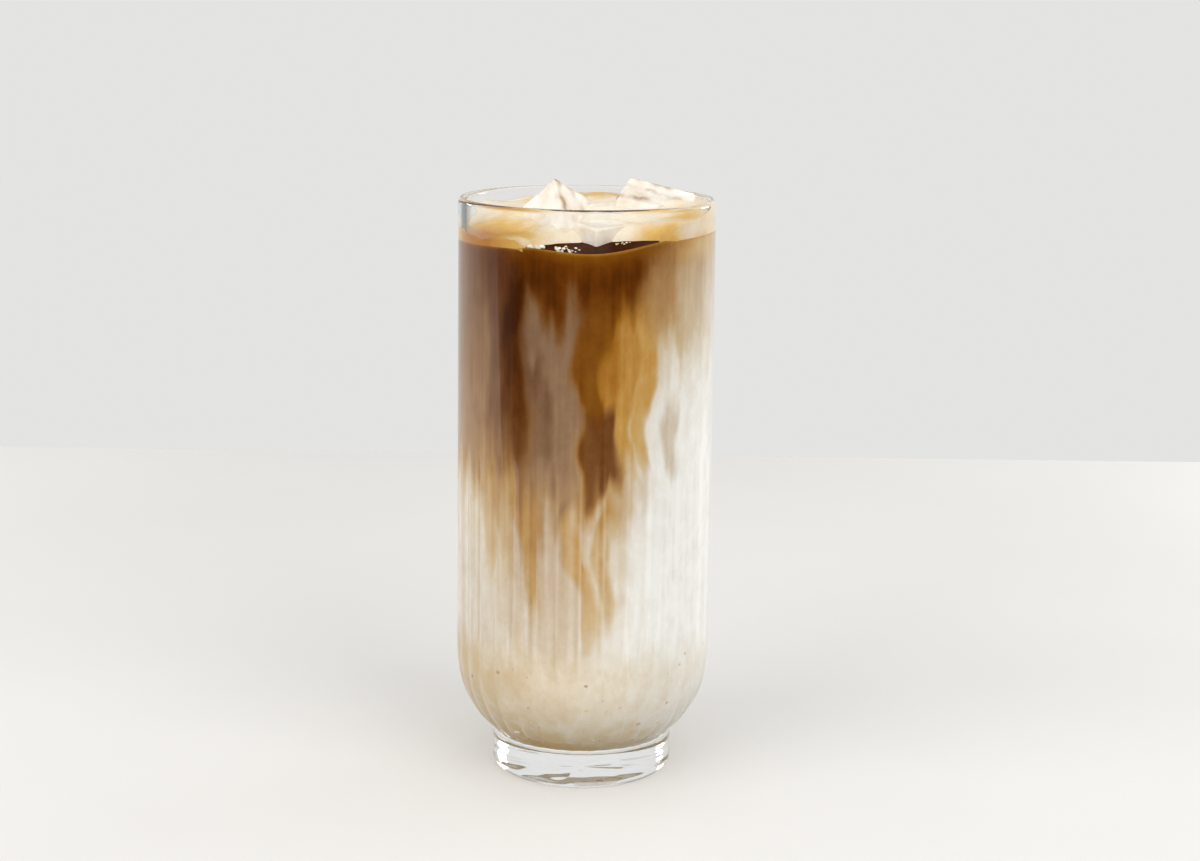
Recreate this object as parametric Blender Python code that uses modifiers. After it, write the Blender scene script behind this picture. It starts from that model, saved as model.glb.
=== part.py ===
"""Iced latte: a tall ribbed glass with layered milk and coffee, foam and ice.

Metres, +Z up, the front towards -Y. The origin is the middle of the foot's
underside. The glass is a turned profile whose lower half carries convex
ribs. The drink inside is four layers, each a solid of its own: a sweet
base, milk, coffee and foam. Three pieces of ice float in the top, and the
coffee and the foam are cut round them.
"""
import math

import bmesh
import bpy
from mathutils import Vector

MERGE_DISTANCE = 0.00001
LEVEL_TOLERANCE = 0.000001

# Glass
GLASS_HEIGHT = 0.1487
RIM_RADIUS = 0.03236
WAIST_RADIUS = 0.03300
WAIST_HEIGHT = 0.0353
WALL_AT_RIM = 0.0020
WALL_AT_WAIST = 0.0026
BOWL_LOW_POINT = 0.0036
BOWL_RISE_POWER = 2.83
BOWL_ROUND_POWER = 2.0
FOOT_RADIUS = 0.0234
FOOT_BLEND = 0.0005
FOOT_BEVEL = 0.0012
INNER_BOTTOM = 0.0106
INNER_RISE_POWER = 2.6
INNER_ROUND_POWER = 2.2
BOWL_ROWS = 10
BOWL_ROW_POWER = 1.15
SIDE_ROWS = 11
SIDE_ROW_POWER = 0.8
LIP_ROWS = 6
BEVEL_ROWS = 3
FOOT_SIDE_TOP = 0.0068

# Ribs on the outside, below the middle of the wall
RIB_COUNT = 34
RIB_STEPS = 3
RIB_RELIEF = 0.00045
RIB_TOP = 0.0892
RIB_FADE = 0.0060
RIB_BOTTOM = 0.0092
GROOVE_SHARPNESS = 1.5
RIBBED_SHARE_OF_WALL = 0.6
SHARP_EDGE_ANGLE = 50.0

# Drink
GAP = 0.0003
DRINK_STEPS = 48
RING_FRACTIONS = (0.0, 0.28, 0.52, 0.73, 0.89, 1.0)
BASE_LEVEL = 0.0377
BASE_WAVE = 0.0012
BASE_WAVE_TURNS = (130.0, 110.0)
BASE_WAVE_STARTS = (0.6, -0.4)
LAYER_GAP = 0.0008
MIX_LEVEL = 0.0967
MIX_TILT = 0.0220
COFFEE_LEVEL = 0.1397
COFFEE_TILT = 0.0015
POOL_DEPTH = 0.0022
POOL_CENTRE = (0.0025, -0.0285)
POOL_SPREAD = (0.0120, 0.0095)
POOL_EDGE = (0.0175, 0.0125)
POOL_CUT_HEIGHT = 0.0200
POOL_CUT_SIDES = 24
LAYER_ROWS = 4
FOAM_THICKNESS = 0.0017
FOAM_SWELL = 0.0005
FOAM_SWELL_TURNS = (310.0, 270.0)
FOAM_SWELL_STARTS = (1.1, 0.7)

# The foam is heaped over sunken ice at the back and at the right
HEAP_RISE = 0.0048
HEAP_START = -0.0210
HEAP_LENGTH = 0.0300
HEAP_TO_RIGHT = 0.35

# Tongues of coffee that sink into the milk: side angle, width, depth
TONGUES = (
    (-24.0, 24.0, 0.0300),
    (9.0, 12.0, 0.0230),
    (-128.0, 17.0, 0.0200),
    (148.0, 20.0, 0.0300),
    (104.0, 14.0, 0.0220),
)

# Ice: middle, size, turn in degrees, how much the far end narrows
ICE = {
    "ice_left": (
        (-0.0072, 0.0007, 0.1383), (0.0176, 0.0170, 0.0200),
        (42.0, 27.4, 37.5), 0.10),
    "ice_right": (
        (0.0162, 0.0060, 0.1393), (0.0180, 0.0115, 0.0230),
        (18.0, 12.0, -14.0), 0.12),
    "ice_front": (
        (0.0041, -0.0136, 0.1390), (0.0118, 0.0088, 0.0100),
        (3.0, -3.0, 40.0), 0.06),
}
ICE_BEVEL = 0.0009
ICE_BEVEL_SEGMENTS = 2
ICE_CLEARANCE = 0.00045

# Finishes: colour, roughness, how clear
FINISHES = {
    "clear_glass": ((0.93, 0.95, 0.95), 0.02, 1.0),
    "sweet_base": ((0.66, 0.52, 0.36), 0.45, 0.0),
    "milk": ((0.78, 0.73, 0.64), 0.40, 0.0),
    "coffee": ((0.16, 0.06, 0.01), 0.25, 0.0),
    "foam": ((0.72, 0.50, 0.24), 0.60, 0.0),
    "ice": ((0.86, 0.83, 0.78), 0.08, 0.6),
}


def clear_scene():
    """Remove every object, so that the model starts from nothing."""
    for thing in list(bpy.data.objects):
        bpy.data.objects.remove(thing, do_unlink=True)


def make_collection(name):
    """A new collection in the scene."""
    collection = bpy.data.collections.new(name)
    bpy.context.scene.collection.children.link(collection)
    return collection


def make_material(name):
    """A plain surface of one colour, by its name in the finishes."""
    colour, roughness, transmission = FINISHES[name]
    material = bpy.data.materials.new(name)
    material.use_nodes = True
    shader = material.node_tree.nodes["Principled BSDF"]
    shader.inputs["Base Color"].default_value = (*colour, 1.0)
    shader.inputs["Roughness"].default_value = roughness
    shader.inputs["Metallic"].default_value = 0.0
    shader.inputs["Transmission Weight"].default_value = transmission
    material.diffuse_color = (*colour, 1.0)
    return material


def add_object(name, mesh, material, collection):
    """One named object with its own material."""
    thing = bpy.data.objects.new(name, mesh)
    collection.objects.link(thing)
    mesh.materials.clear()
    mesh.materials.append(material)
    return thing


def smooth_step(value):
    """Ease from 0 to 1."""
    value = min(max(value, 0.0), 1.0)
    return value * value * (3.0 - 2.0 * value)


def between(low, high, share):
    """The value at a share of the way from low to high."""
    return low + (high - low) * share


def wall_share(height):
    """How far up the straight wall a height is, 0 at the waist."""
    share = (height - WAIST_HEIGHT) / (GLASS_HEIGHT - WAIST_HEIGHT)
    return min(max(share, 0.0), 1.0)


def outer_radius(height):
    """Radius of the outside: foot, blend, round bowl, straight wall."""
    if height >= WAIST_HEIGHT:
        return between(WAIST_RADIUS, RIM_RADIUS, wall_share(height))
    drop = (WAIST_HEIGHT - height) / (WAIST_HEIGHT - BOWL_LOW_POINT)
    left = max(1.0 - drop ** BOWL_RISE_POWER, 0.0)
    bowl = WAIST_RADIUS * left ** (1.0 / BOWL_ROUND_POWER)
    spread = math.hypot(bowl - FOOT_RADIUS, 2.0 * FOOT_BLEND)
    return (bowl + FOOT_RADIUS + spread) / 2.0


def inner_wall_radius(height):
    """Radius of the straight inside wall."""
    wall = between(WALL_AT_WAIST, WALL_AT_RIM, wall_share(height))
    outside = between(WAIST_RADIUS, RIM_RADIUS, wall_share(height))
    return outside - wall


def inner_radius(height):
    """Radius of the hollow: a round bottom under a straight wall."""
    if height >= WAIST_HEIGHT:
        return inner_wall_radius(height)
    drop = (WAIST_HEIGHT - height) / (WAIST_HEIGHT - INNER_BOTTOM)
    left = max(1.0 - drop ** INNER_RISE_POWER, 0.0)
    return inner_wall_radius(WAIST_HEIGHT) * left ** (1.0 / INNER_ROUND_POWER)


def inner_bowl_points():
    """Points up the round inside bottom, from the axis to the waist."""
    points = [(0.0, INNER_BOTTOM)]
    for row in range(1, BOWL_ROWS + 1):
        angle = math.radians(90.0) * row / BOWL_ROWS
        rise = (1.0 - math.cos(angle)) ** BOWL_ROW_POWER
        height = between(INNER_BOTTOM, WAIST_HEIGHT, rise)
        points.append((inner_radius(height), height))
    return points


def rim_points():
    """The rounded lip, from the inside over the top to the outside."""
    inside = inner_wall_radius(GLASS_HEIGHT)
    round_radius = (RIM_RADIUS - inside) / 2.0
    middle = (RIM_RADIUS + inside) / 2.0
    points = []
    for row in range(LIP_ROWS + 1):
        angle = math.pi * (1.0 - row / LIP_ROWS)
        across = middle + round_radius * math.cos(angle)
        height = GLASS_HEIGHT - round_radius * (1.0 - math.sin(angle))
        points.append((across, height))
    return points


def outer_side_points():
    """The outside from under the lip down to the foot's underside."""
    heights = [RIB_TOP, RIB_TOP - 0.5 * RIB_FADE, RIB_TOP - RIB_FADE]
    heights.append(between(RIB_TOP - RIB_FADE, WAIST_HEIGHT, 0.5))
    for row in range(SIDE_ROWS + 1):
        share = (row / SIDE_ROWS) ** SIDE_ROW_POWER
        heights.append(between(WAIST_HEIGHT, RIB_BOTTOM, share))
    heights.append(FOOT_SIDE_TOP)
    points = [(outer_radius(height), height) for height in heights]
    for row in range(BEVEL_ROWS + 1):
        angle = math.radians(90.0) * row / BEVEL_ROWS
        across = FOOT_RADIUS - FOOT_BEVEL * (1.0 - math.cos(angle))
        points.append((across, FOOT_BEVEL * (1.0 - math.sin(angle))))
    points.append((0.0, 0.0))
    return points


def turned_mesh(name, profile, steps):
    """Turn a profile of (radius, height) points round the Z axis."""
    mesh = bpy.data.meshes.new(name)
    corners = [(radius, 0.0, height) for radius, height in profile]
    edges = [(index, index + 1) for index in range(len(corners) - 1)]
    mesh.from_pydata(corners, edges, [])
    guide = bpy.data.objects.new(name, mesh)
    bpy.context.scene.collection.objects.link(guide)
    screw = guide.modifiers.new("Turn", "SCREW")
    screw.axis = "Z"
    screw.angle = math.radians(360.0)
    screw.steps = steps
    screw.render_steps = steps
    screw.use_merge_vertices = True
    screw.merge_threshold = MERGE_DISTANCE
    graph = bpy.context.evaluated_depsgraph_get()
    turned = bpy.data.meshes.new_from_object(guide.evaluated_get(graph))
    bpy.data.objects.remove(guide, do_unlink=True)
    bpy.data.meshes.remove(mesh)
    turned.name = name
    return turned


def reshape(mesh, rule):
    """Move every corner of a mesh to the place that a rule gives it."""
    for corner in mesh.vertices:
        corner.co = rule(corner.co.copy())
    mesh.update()


def split_quads(mesh):
    """Split quads along their short diagonal, alike in facing layers."""
    work = bmesh.new()
    work.from_mesh(mesh)
    bmesh.ops.triangulate(work, faces=work.faces, quad_method="SHORT_EDGE")
    work.to_mesh(mesh)
    work.free()


def shade_round(mesh):
    """Smooth shading that keeps real edges sharp."""
    mesh.shade_smooth()
    mesh.set_sharp_from_angle(angle=math.radians(SHARP_EDGE_ANGLE))


def side_angle(corner):
    """Angle round the glass in degrees, 0 in front, positive right."""
    return math.degrees(math.atan2(corner.x, -corner.y))


def rib_strength(height):
    """1 where the ribs are full, 0 above them and on the foot."""
    upper = smooth_step((RIB_TOP - height) / RIB_FADE)
    lower = smooth_step((height - RIB_BOTTOM) / RIB_FADE)
    return upper * lower


def ribbed(corner):
    """Press a groove between neighbouring ribs on the outside."""
    radius = max(math.hypot(corner.x, corner.y), MERGE_DISTANCE)
    inside = inner_radius(corner.z)
    outside = outer_radius(corner.z)
    if radius < between(inside, outside, RIBBED_SHARE_OF_WALL):
        return corner
    turn = side_angle(corner) / 360.0 * RIB_COUNT
    phase = abs(turn - round(turn)) * 2.0
    groove = 1.0 - smooth_step(phase * GROOVE_SHARPNESS)
    depth = RIB_RELIEF * groove * rib_strength(corner.z)
    share = (radius - depth) / radius
    return Vector((corner.x * share, corner.y * share, corner.z))


def build_glass(collection, material):
    """The glass, one closed solid with ribs on its lower half."""
    profile = inner_bowl_points() + rim_points() + outer_side_points()
    mesh = turned_mesh("glass", profile, RIB_COUNT * RIB_STEPS)
    reshape(mesh, ribbed)
    shade_round(mesh)
    return add_object("glass", mesh, material, collection)


def base_level(x, y):
    """Top of the sweet base, a slow swell."""
    across = x * BASE_WAVE_TURNS[0] + BASE_WAVE_STARTS[0]
    along = y * BASE_WAVE_TURNS[1] + BASE_WAVE_STARTS[1]
    return BASE_LEVEL + BASE_WAVE * math.sin(across) * math.cos(along)


def mix_level(x, y):
    """Where milk turns to coffee: high at the right, with tongues."""
    reach = min(math.hypot(x, y) / inner_wall_radius(MIX_LEVEL), 1.0)
    angle = math.degrees(math.atan2(x, -y))
    height = MIX_LEVEL + MIX_TILT * math.sin(math.radians(angle)) * reach
    for place, width, depth in TONGUES:
        apart = (angle - place + 180.0) % 360.0 - 180.0
        height -= depth * math.exp(-((apart / width) ** 2)) * reach ** 2
    return height


def coffee_level(x, y):
    """Top of the coffee: higher at the right, with a pool in front."""
    tilt = COFFEE_TILT * x / inner_wall_radius(COFFEE_LEVEL)
    across = (x - POOL_CENTRE[0]) / POOL_SPREAD[0]
    along = (y - POOL_CENTRE[1]) / POOL_SPREAD[1]
    pool = POOL_DEPTH * math.exp(-across ** 2 - along ** 2)
    return COFFEE_LEVEL + tilt - pool


def foam_level(x, y):
    """Top of the foam: gently lumpy, heaped at the back and the right."""
    across = x * FOAM_SWELL_TURNS[0] + FOAM_SWELL_STARTS[0]
    along = y * FOAM_SWELL_TURNS[1] + FOAM_SWELL_STARTS[1]
    swell = FOAM_SWELL * math.sin(across) * math.sin(along)
    tilt = COFFEE_TILT * x / inner_wall_radius(COFFEE_LEVEL)
    share = (y + HEAP_TO_RIGHT * x - HEAP_START) / HEAP_LENGTH
    heap = HEAP_RISE * smooth_step(share)
    return COFFEE_LEVEL + tilt + FOAM_THICKNESS + swell + heap


def layer_mesh(name, lower, upper, side_rows):
    """A layer of drink between two surfaces, up to the glass."""
    profile = [(share, 1.0) for share in RING_FRACTIONS]
    profile += [(1.0, 1.0 - row / side_rows) for row in range(1, side_rows)]
    profile += [(share, 0.0) for share in reversed(RING_FRACTIONS)]
    mesh = turned_mesh(name, profile, DRINK_STEPS)

    def fit(corner):
        """Set a corner between the surfaces and inside the wall."""
        wall = inner_wall_radius(COFFEE_LEVEL) - GAP
        x = corner.x * wall
        y = corner.y * wall
        height = between(lower(x, y), upper(x, y), corner.z)
        share = (inner_wall_radius(height) - GAP) / wall
        return Vector((x * share, y * share, height))

    reshape(mesh, fit)
    split_quads(mesh)
    return mesh


def base_mesh():
    """The sweet base: it fills the round bottom of the glass."""
    wall = inner_wall_radius(BASE_LEVEL) - GAP
    profile = [(share * wall, BASE_LEVEL) for share in RING_FRACTIONS]
    for radius, height in reversed(inner_bowl_points()):
        profile.append((max(radius - GAP, 0.0), height + GAP))
    mesh = turned_mesh("sweet_base", profile, DRINK_STEPS)

    def fit(corner):
        """Give corners on the top the level's swell."""
        if corner.z < BASE_LEVEL - LEVEL_TOLERANCE:
            return corner
        return Vector((corner.x, corner.y, base_level(corner.x, corner.y)))

    reshape(mesh, fit)
    split_quads(mesh)
    return mesh


def ice_mesh(name, size, narrow, margin=0.0):
    """A box of ice whose far end narrows, larger by a margin."""
    mesh = bpy.data.meshes.new(name)
    work = bmesh.new()
    bmesh.ops.create_cube(work, size=1.0)
    for corner in work.verts:
        share = 1.0 - narrow * (corner.co.x + 0.5)
        corner.co.y *= share
        corner.co.z *= 1.0 - narrow * (0.5 - corner.co.y)
        for axis in range(3):
            corner.co[axis] *= size[axis] + 2.0 * margin
    work.to_mesh(mesh)
    work.free()
    return mesh


def place_ice(thing, centre, turn):
    """Set an ice piece or its cutter in its place."""
    thing.location = centre
    thing.rotation_euler = [math.radians(angle) for angle in turn]


def bevel(thing):
    """Round the edges of a piece of ice."""
    rounding = thing.modifiers.new("Rounded edges", "BEVEL")
    rounding.width = ICE_BEVEL
    rounding.segments = ICE_BEVEL_SEGMENTS
    rounding.limit_method = "ANGLE"


def build_ice(collection, cutters, material):
    """The pieces of ice, each with a slightly larger cutter."""
    spaces = []
    for name, (centre, size, turn, narrow) in ICE.items():
        mesh = ice_mesh(name, size, narrow)
        thing = add_object(name, mesh, material, collection)
        place_ice(thing, centre, turn)
        bevel(thing)
        space = bpy.data.objects.new(
            name + "_space", ice_mesh(name, size, narrow, ICE_CLEARANCE))
        cutters.objects.link(space)
        place_ice(space, centre, turn)
        spaces.append(space)
    return spaces


def pool_cutter(cutters):
    """A round block over the dark pool, which opens the foam there."""
    bpy.ops.mesh.primitive_cylinder_add(
        vertices=POOL_CUT_SIDES, radius=1.0, depth=POOL_CUT_HEIGHT,
        location=(POOL_CENTRE[0], POOL_CENTRE[1], COFFEE_LEVEL))
    space = bpy.context.object
    space.name = "pool_space"
    space.scale = (*POOL_EDGE, 1.0)
    for owner in list(space.users_collection):
        owner.objects.unlink(space)
    cutters.objects.link(space)
    return space


def cut(thing, spaces):
    """Cut the cutters' shapes out of a layer."""
    for space in spaces:
        space.hide_render = True
        space.display_type = "WIRE"
        opening = thing.modifiers.new("Cut " + space.name, "BOOLEAN")
        opening.operation = "DIFFERENCE"
        opening.solver = "EXACT"
        opening.object = space


def build_drink(collection, cutters, spaces):
    """The four layers, from the bottom of the glass up."""
    base_finish = make_material("sweet_base")
    add_object("sweet_base", base_mesh(), base_finish, collection)

    def over_base(x, y):
        """The milk's underside, just above the base."""
        return base_level(x, y) + LAYER_GAP / 2.0

    milk = layer_mesh("milk", over_base, mix_level, LAYER_ROWS)
    add_object("milk", milk, make_material("milk"), collection)

    def over_milk(x, y):
        """The coffee's underside, just above the milk."""
        return mix_level(x, y) + LAYER_GAP

    coffee_body = layer_mesh("coffee", over_milk, coffee_level, LAYER_ROWS)
    coffee_finish = make_material("coffee")
    coffee = add_object("coffee", coffee_body, coffee_finish, collection)
    cut(coffee, spaces)

    def over_coffee(x, y):
        """The foam's underside, just above the coffee."""
        return coffee_level(x, y) + GAP

    foam_body = layer_mesh("foam", over_coffee, foam_level, 1)
    foam = add_object("foam", foam_body, make_material("foam"), collection)
    cut(foam, spaces + [pool_cutter(cutters)])


def main():
    """Build the whole drink."""
    clear_scene()
    parts = make_collection("iced_latte")
    cutters = make_collection("cutters")
    build_glass(parts, make_material("clear_glass"))
    spaces = build_ice(parts, cutters, make_material("ice"))
    build_drink(parts, cutters, spaces)


main()
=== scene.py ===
"""Looks of an iced latte: a clear ribbed glass, a streaked drink, foam and ice.

Lengths are metres, +Z is up and the front faces -Y. Side angles are degrees
round the glass, 0 in front and positive to the right. Each class below holds
the sizes of one sub-assembly and builds its meshes as numpy grids.
"""
from __future__ import annotations

import logging
import math
from collections.abc import Callable
from dataclasses import dataclass
from enum import Enum

import bmesh
import bpy
import numpy as np
from mathutils import Euler, Matrix, Vector


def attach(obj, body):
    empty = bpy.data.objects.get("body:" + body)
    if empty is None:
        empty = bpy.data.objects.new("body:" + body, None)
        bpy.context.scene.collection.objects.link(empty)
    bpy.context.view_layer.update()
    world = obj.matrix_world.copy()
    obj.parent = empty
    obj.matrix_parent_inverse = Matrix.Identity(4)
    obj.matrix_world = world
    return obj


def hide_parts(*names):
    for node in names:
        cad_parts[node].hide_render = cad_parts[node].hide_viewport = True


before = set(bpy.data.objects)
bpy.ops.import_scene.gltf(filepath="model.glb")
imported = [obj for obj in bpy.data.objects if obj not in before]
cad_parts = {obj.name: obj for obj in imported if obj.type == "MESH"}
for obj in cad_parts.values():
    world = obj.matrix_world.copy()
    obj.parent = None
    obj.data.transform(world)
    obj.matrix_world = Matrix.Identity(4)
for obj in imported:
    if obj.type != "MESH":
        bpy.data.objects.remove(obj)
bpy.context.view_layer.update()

LOG = logging.getLogger("iced_latte")
BODY = "root"
MM = 0.001

Array = np.ndarray
Surface = Callable[[Array, Array], Array]
Colour = tuple[float, float, float]


class Tint(Enum):
    """Named display colours of the drink, as red, green and blue bytes."""

    CREAM = (234, 234, 230)
    PALE_TAN = (199, 185, 165)
    TAN = (168, 139, 104)
    BROWN = (140, 111, 85)
    MID_BROWN = (115, 85, 62)
    DEEP_BROWN = (88, 53, 25)
    ESPRESSO = (64, 28, 1)
    STRAW = (205, 181, 133)
    GOLD = (192, 150, 80)
    AMBER = (164, 113, 42)
    DARK_AMBER = (130, 80, 12)
    CHESTNUT = (102, 52, 4)
    FOAM_CREAM = (233, 226, 211)
    FOAM_STRAW = (212, 171, 92)
    FOAM_GOLD = (178, 116, 34)

    def linear(self) -> Colour:
        """The colour as linear light."""
        return tuple(linear_light(part / 255.0) for part in self.value)


def linear_light(value: float) -> float:
    """Turn one display value into linear light.

    Args:
        value: A display value between 0 and 1.

    Returns:
        The linear value, by the standard display curve.
    """
    if value <= 0.04045:
        return value / 12.92
    return ((value + 0.055) / 1.055) ** 2.4


# Numpy helpers


def ease(value: Array) -> Array:
    """Ease from 0 to 1: three squares less two cubes of the clipped value."""
    value = np.clip(value, 0.0, 1.0)
    return value * value * (3.0 - 2.0 * value)


def lattice_noise(angle: Array, height: Array, cells: int, pitch: float,
                  seed: int) -> Array:
    """Smooth random drift on the glass's side, without a seam.

    A lattice of seeded random values, cells round the glass and one row each
    pitch of height, is blended with eased weights between its four nearest
    values.

    Args:
        angle: Side angles in degrees.
        height: Heights in metres.
        cells: Lattice columns round the glass.
        pitch: Height of one lattice row in metres.
        seed: Seed of the random values.

    Returns:
        Values between -1 and 1, shaped like angle.
    """
    draw = np.random.default_rng(seed)
    rows = 64
    table = draw.uniform(-1.0, 1.0, (cells, rows))
    across = (angle / 360.0) % 1.0 * cells
    along = height / pitch + 20.0
    left = np.floor(across).astype(int)
    low = np.floor(along).astype(int)
    share_a = ease(across - left)
    share_b = ease(along - low)
    left0, left1 = left % cells, (left + 1) % cells
    low0, low1 = low % rows, (low + 1) % rows
    near = table[left0, low0] * (1 - share_a) + table[left1, low0] * share_a
    far = table[left0, low1] * (1 - share_a) + table[left1, low1] * share_a
    return near * (1 - share_b) + far * share_b


@dataclass(frozen=True)
class Layer:
    """One layer of lattice noise, with its pitch in millimetres."""

    amount: float
    cells: int
    pitch: float
    seed: int


def layered_noise(angle: Array, height: Array,
                  layers: tuple[Layer, ...]) -> Array:
    """Lattice noises added up, each times its amount.

    Args:
        angle: Side angles in degrees.
        height: Heights in metres.
        layers: The layers, coarse to fine.

    Returns:
        Values shaped like angle.
    """
    return sum(
        layer.amount * lattice_noise(
            angle, height, layer.cells, layer.pitch * MM, layer.seed)
        for layer in layers)


def apart_degrees(angle: Array, place: Array | float) -> Array:
    """Signed turn from place to angle, between -180 and 180 degrees."""
    return (angle - place + 180.0) % 360.0 - 180.0


def side_angle(x: Array, y: Array) -> Array:
    """Side angle in degrees of points, 0 in front and positive right."""
    return np.degrees(np.arctan2(x, -y))


def side_bell(angle: Array, middle: float, width: float) -> Array:
    """A bell round the glass: e to minus the square of turn over width."""
    return np.exp(-((apart_degrees(angle, middle) / width) ** 2))


def add_mesh(name: str, points: Array, faces: list[Array],
             smooth: bool = True) -> bpy.types.Object:
    """Make an object at the origin from points and face tables.

    Args:
        name: The piece's name.
        points: Corners, one row each.
        faces: Tables of corner indices, each of one number of sides.
        smooth: Whether the faces are shaded smooth.

    Returns:
        The new object, linked to the scene.
    """
    mesh = bpy.data.meshes.new(name)
    loops = np.concatenate([table.ravel() for table in faces])
    totals = np.concatenate(
        [np.full(len(table), table.shape[1]) for table in faces])
    starts = np.concatenate([[0], np.cumsum(totals)[:-1]])
    mesh.vertices.add(len(points))
    mesh.vertices.foreach_set("co", points.astype(np.float32).ravel())
    mesh.loops.add(len(loops))
    mesh.loops.foreach_set("vertex_index", loops.astype(np.int32))
    mesh.polygons.add(len(totals))
    mesh.polygons.foreach_set("loop_start", starts.astype(np.int32))
    mesh.polygons.foreach_set("loop_total", totals.astype(np.int32))
    mesh.polygons.foreach_set("use_smooth", np.full(len(totals), smooth))
    mesh.update(calc_edges=True)
    mesh.validate()
    thing = bpy.data.objects.new(name, mesh)
    bpy.context.scene.collection.objects.link(thing)
    return thing


def capped_faces(rings: int, sides: int) -> tuple[Array, Array]:
    """Faces of a round grid whose ends close in one corner each.

    Corner i * sides + j is place j of ring i. The corner that closes the
    first ring has number rings * sides, and the other one comes after it.

    Args:
        rings: Rings of corners between the ends.
        sides: Corners in each ring.

    Returns:
        The table of four-sided faces, and that of the ends' triangles.
    """
    index = np.arange(rings * sides).reshape(rings, sides)
    after = np.roll(index, -1, axis=1)
    quads = np.stack([index[:-1], index[1:], after[1:], after[:-1]], axis=-1)
    first = np.full(sides, rings * sides)
    fans = np.vstack([
        np.stack([first, index[0], after[0]], axis=-1),
        np.stack([first + 1, after[-1], index[-1]], axis=-1)])
    return quads.reshape(-1, 4), fans


def turned_surface(name: str, radius: Array, height: Array) -> bpy.types.Object:
    """A closed turned solid from a grid of radii and heights.

    Row i, column j is the point at radius[i, j] and height[i, j], turned by
    j steps round the axis. The first and the last row lie on the axis and
    become one corner each, joined by fans of triangles.

    Args:
        name: The piece's name.
        radius: Radii, one row for each profile point.
        height: Heights, shaped like radius.

    Returns:
        The new object.
    """
    rows, columns = radius.shape
    turn = np.arange(columns) * 2.0 * math.pi / columns
    x = radius * np.sin(turn)
    y = -radius * np.cos(turn)
    ring = np.stack([x, y, height], axis=-1)
    ends = [ring[0].mean(axis=0), ring[-1].mean(axis=0)]
    points = np.vstack([ring[1:-1].reshape(-1, 3), *ends])
    return add_mesh(name, points, list(capped_faces(rows - 2, columns)))


def corner_table(thing: bpy.types.Object) -> Array:
    """All corners of an object's mesh.

    Args:
        thing: The object.

    Returns:
        Places in metres, one row each.
    """
    count = len(thing.data.vertices)
    flat = np.empty(count * 3, dtype=np.float32)
    thing.data.vertices.foreach_get("co", flat)
    return flat.reshape(-1, 3).astype(float)


def store(thing: bpy.types.Object, name: str, values: Array) -> None:
    """Keep one number for each corner as a named attribute."""
    layer = thing.data.attributes.new(name, "FLOAT", "POINT")
    layer.data.foreach_set("value", values.astype(np.float32))


def enter(thing: bpy.types.Object, slot: str, *nodes: str) -> None:
    """Set a piece on the frame and report it.

    Args:
        thing: The piece.
        slot: The record's material slot; not used.
        nodes: CAD nodes that the piece stands for.
    """
    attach(thing, BODY)
    if nodes:
        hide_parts(*nodes)
    LOG.info("%s: %d faces", thing.name, len(thing.data.polygons))


# Material helpers

# Places of the colour sockets on Blender's mix node
MIX_FIRST, MIX_SECOND, MIX_COLOUR = 6, 7, 2

Socket = bpy.types.NodeSocket


class Nodes:
    """A small builder of one tree of shader nodes."""

    def __init__(self, tree: bpy.types.NodeTree) -> None:
        """Keep the tree that the nodes go into."""
        self.tree = tree

    def node(self, kind: str, **settings: object) -> bpy.types.Node:
        """Add a node.

        Args:
            kind: Blender's name of its kind.
            settings: Properties to set on it.

        Returns:
            The node.
        """
        made = self.tree.nodes.new(kind)
        for name, value in settings.items():
            setattr(made, name, value)
        return made

    def feed(self, into: Socket, source: Socket | float) -> None:
        """Give an input its source.

        Args:
            into: The input.
            source: A socket to join to it, or a number to set.
        """
        if isinstance(source, Socket):
            self.tree.links.new(source, into)
        else:
            into.default_value = source

    def math(self, operation: str, *inputs: Socket | float) -> bpy.types.Node:
        """Arithmetic on sockets and numbers.

        Args:
            operation: Blender's name of the operation.
            inputs: What it works on, in order.

        Returns:
            The node, whose first output is the result.
        """
        made = self.node("ShaderNodeMath", operation=operation)
        for into, source in zip(made.inputs, inputs):
            self.feed(into, source)
        return made

    def scaled(self, source: Socket, factor: float, offset: float) -> Socket:
        """The source times a factor plus an offset."""
        return self.math("MULTIPLY_ADD", source, factor, offset).outputs[0]

    def added(self, first: Socket, second: Socket) -> Socket:
        """The sum of two numbers."""
        return self.math("ADD", first, second).outputs[0]

    def times(self, first: Socket, second: Socket) -> Socket:
        """The product of two numbers, kept between 0 and 1.

        Args:
            first: One number.
            second: The other.

        Returns:
            The clamped product.
        """
        made = self.math("MULTIPLY", first, second)
        made.use_clamp = True
        return made.outputs[0]

    def ramp(self, source: Socket,
             stops: list[tuple[float, Colour]]) -> Socket:
        """Colours read along a ramp.

        Args:
            source: Where along the ramp to read, 0 to 1.
            stops: Places in rising order, each with its colour.

        Returns:
            The colour.
        """
        made = self.node("ShaderNodeValToRGB")
        band = made.color_ramp
        while len(band.elements) < len(stops):
            band.elements.new(0.5)
        for element, (place, colour) in zip(band.elements, stops):
            element.position = place
            element.color = (*colour, 1.0)
        self.feed(made.inputs["Fac"], source)
        return made.outputs["Color"]

    def mixed(self, share: Socket | float, first: Socket, second: Socket,
              kind: str = "MIX") -> Socket:
        """Two colours mixed by a share.

        Args:
            share: How much of the second shows, 0 to 1.
            first: The colour underneath.
            second: The colour laid over it.
            kind: Blender's name of the blend.

        Returns:
            The mixed colour.
        """
        made = self.node("ShaderNodeMix", data_type="RGBA", blend_type=kind)
        self.feed(made.inputs["Factor"], share)
        self.feed(made.inputs[MIX_FIRST], first)
        self.feed(made.inputs[MIX_SECOND], second)
        return made.outputs[MIX_COLOUR]


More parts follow.
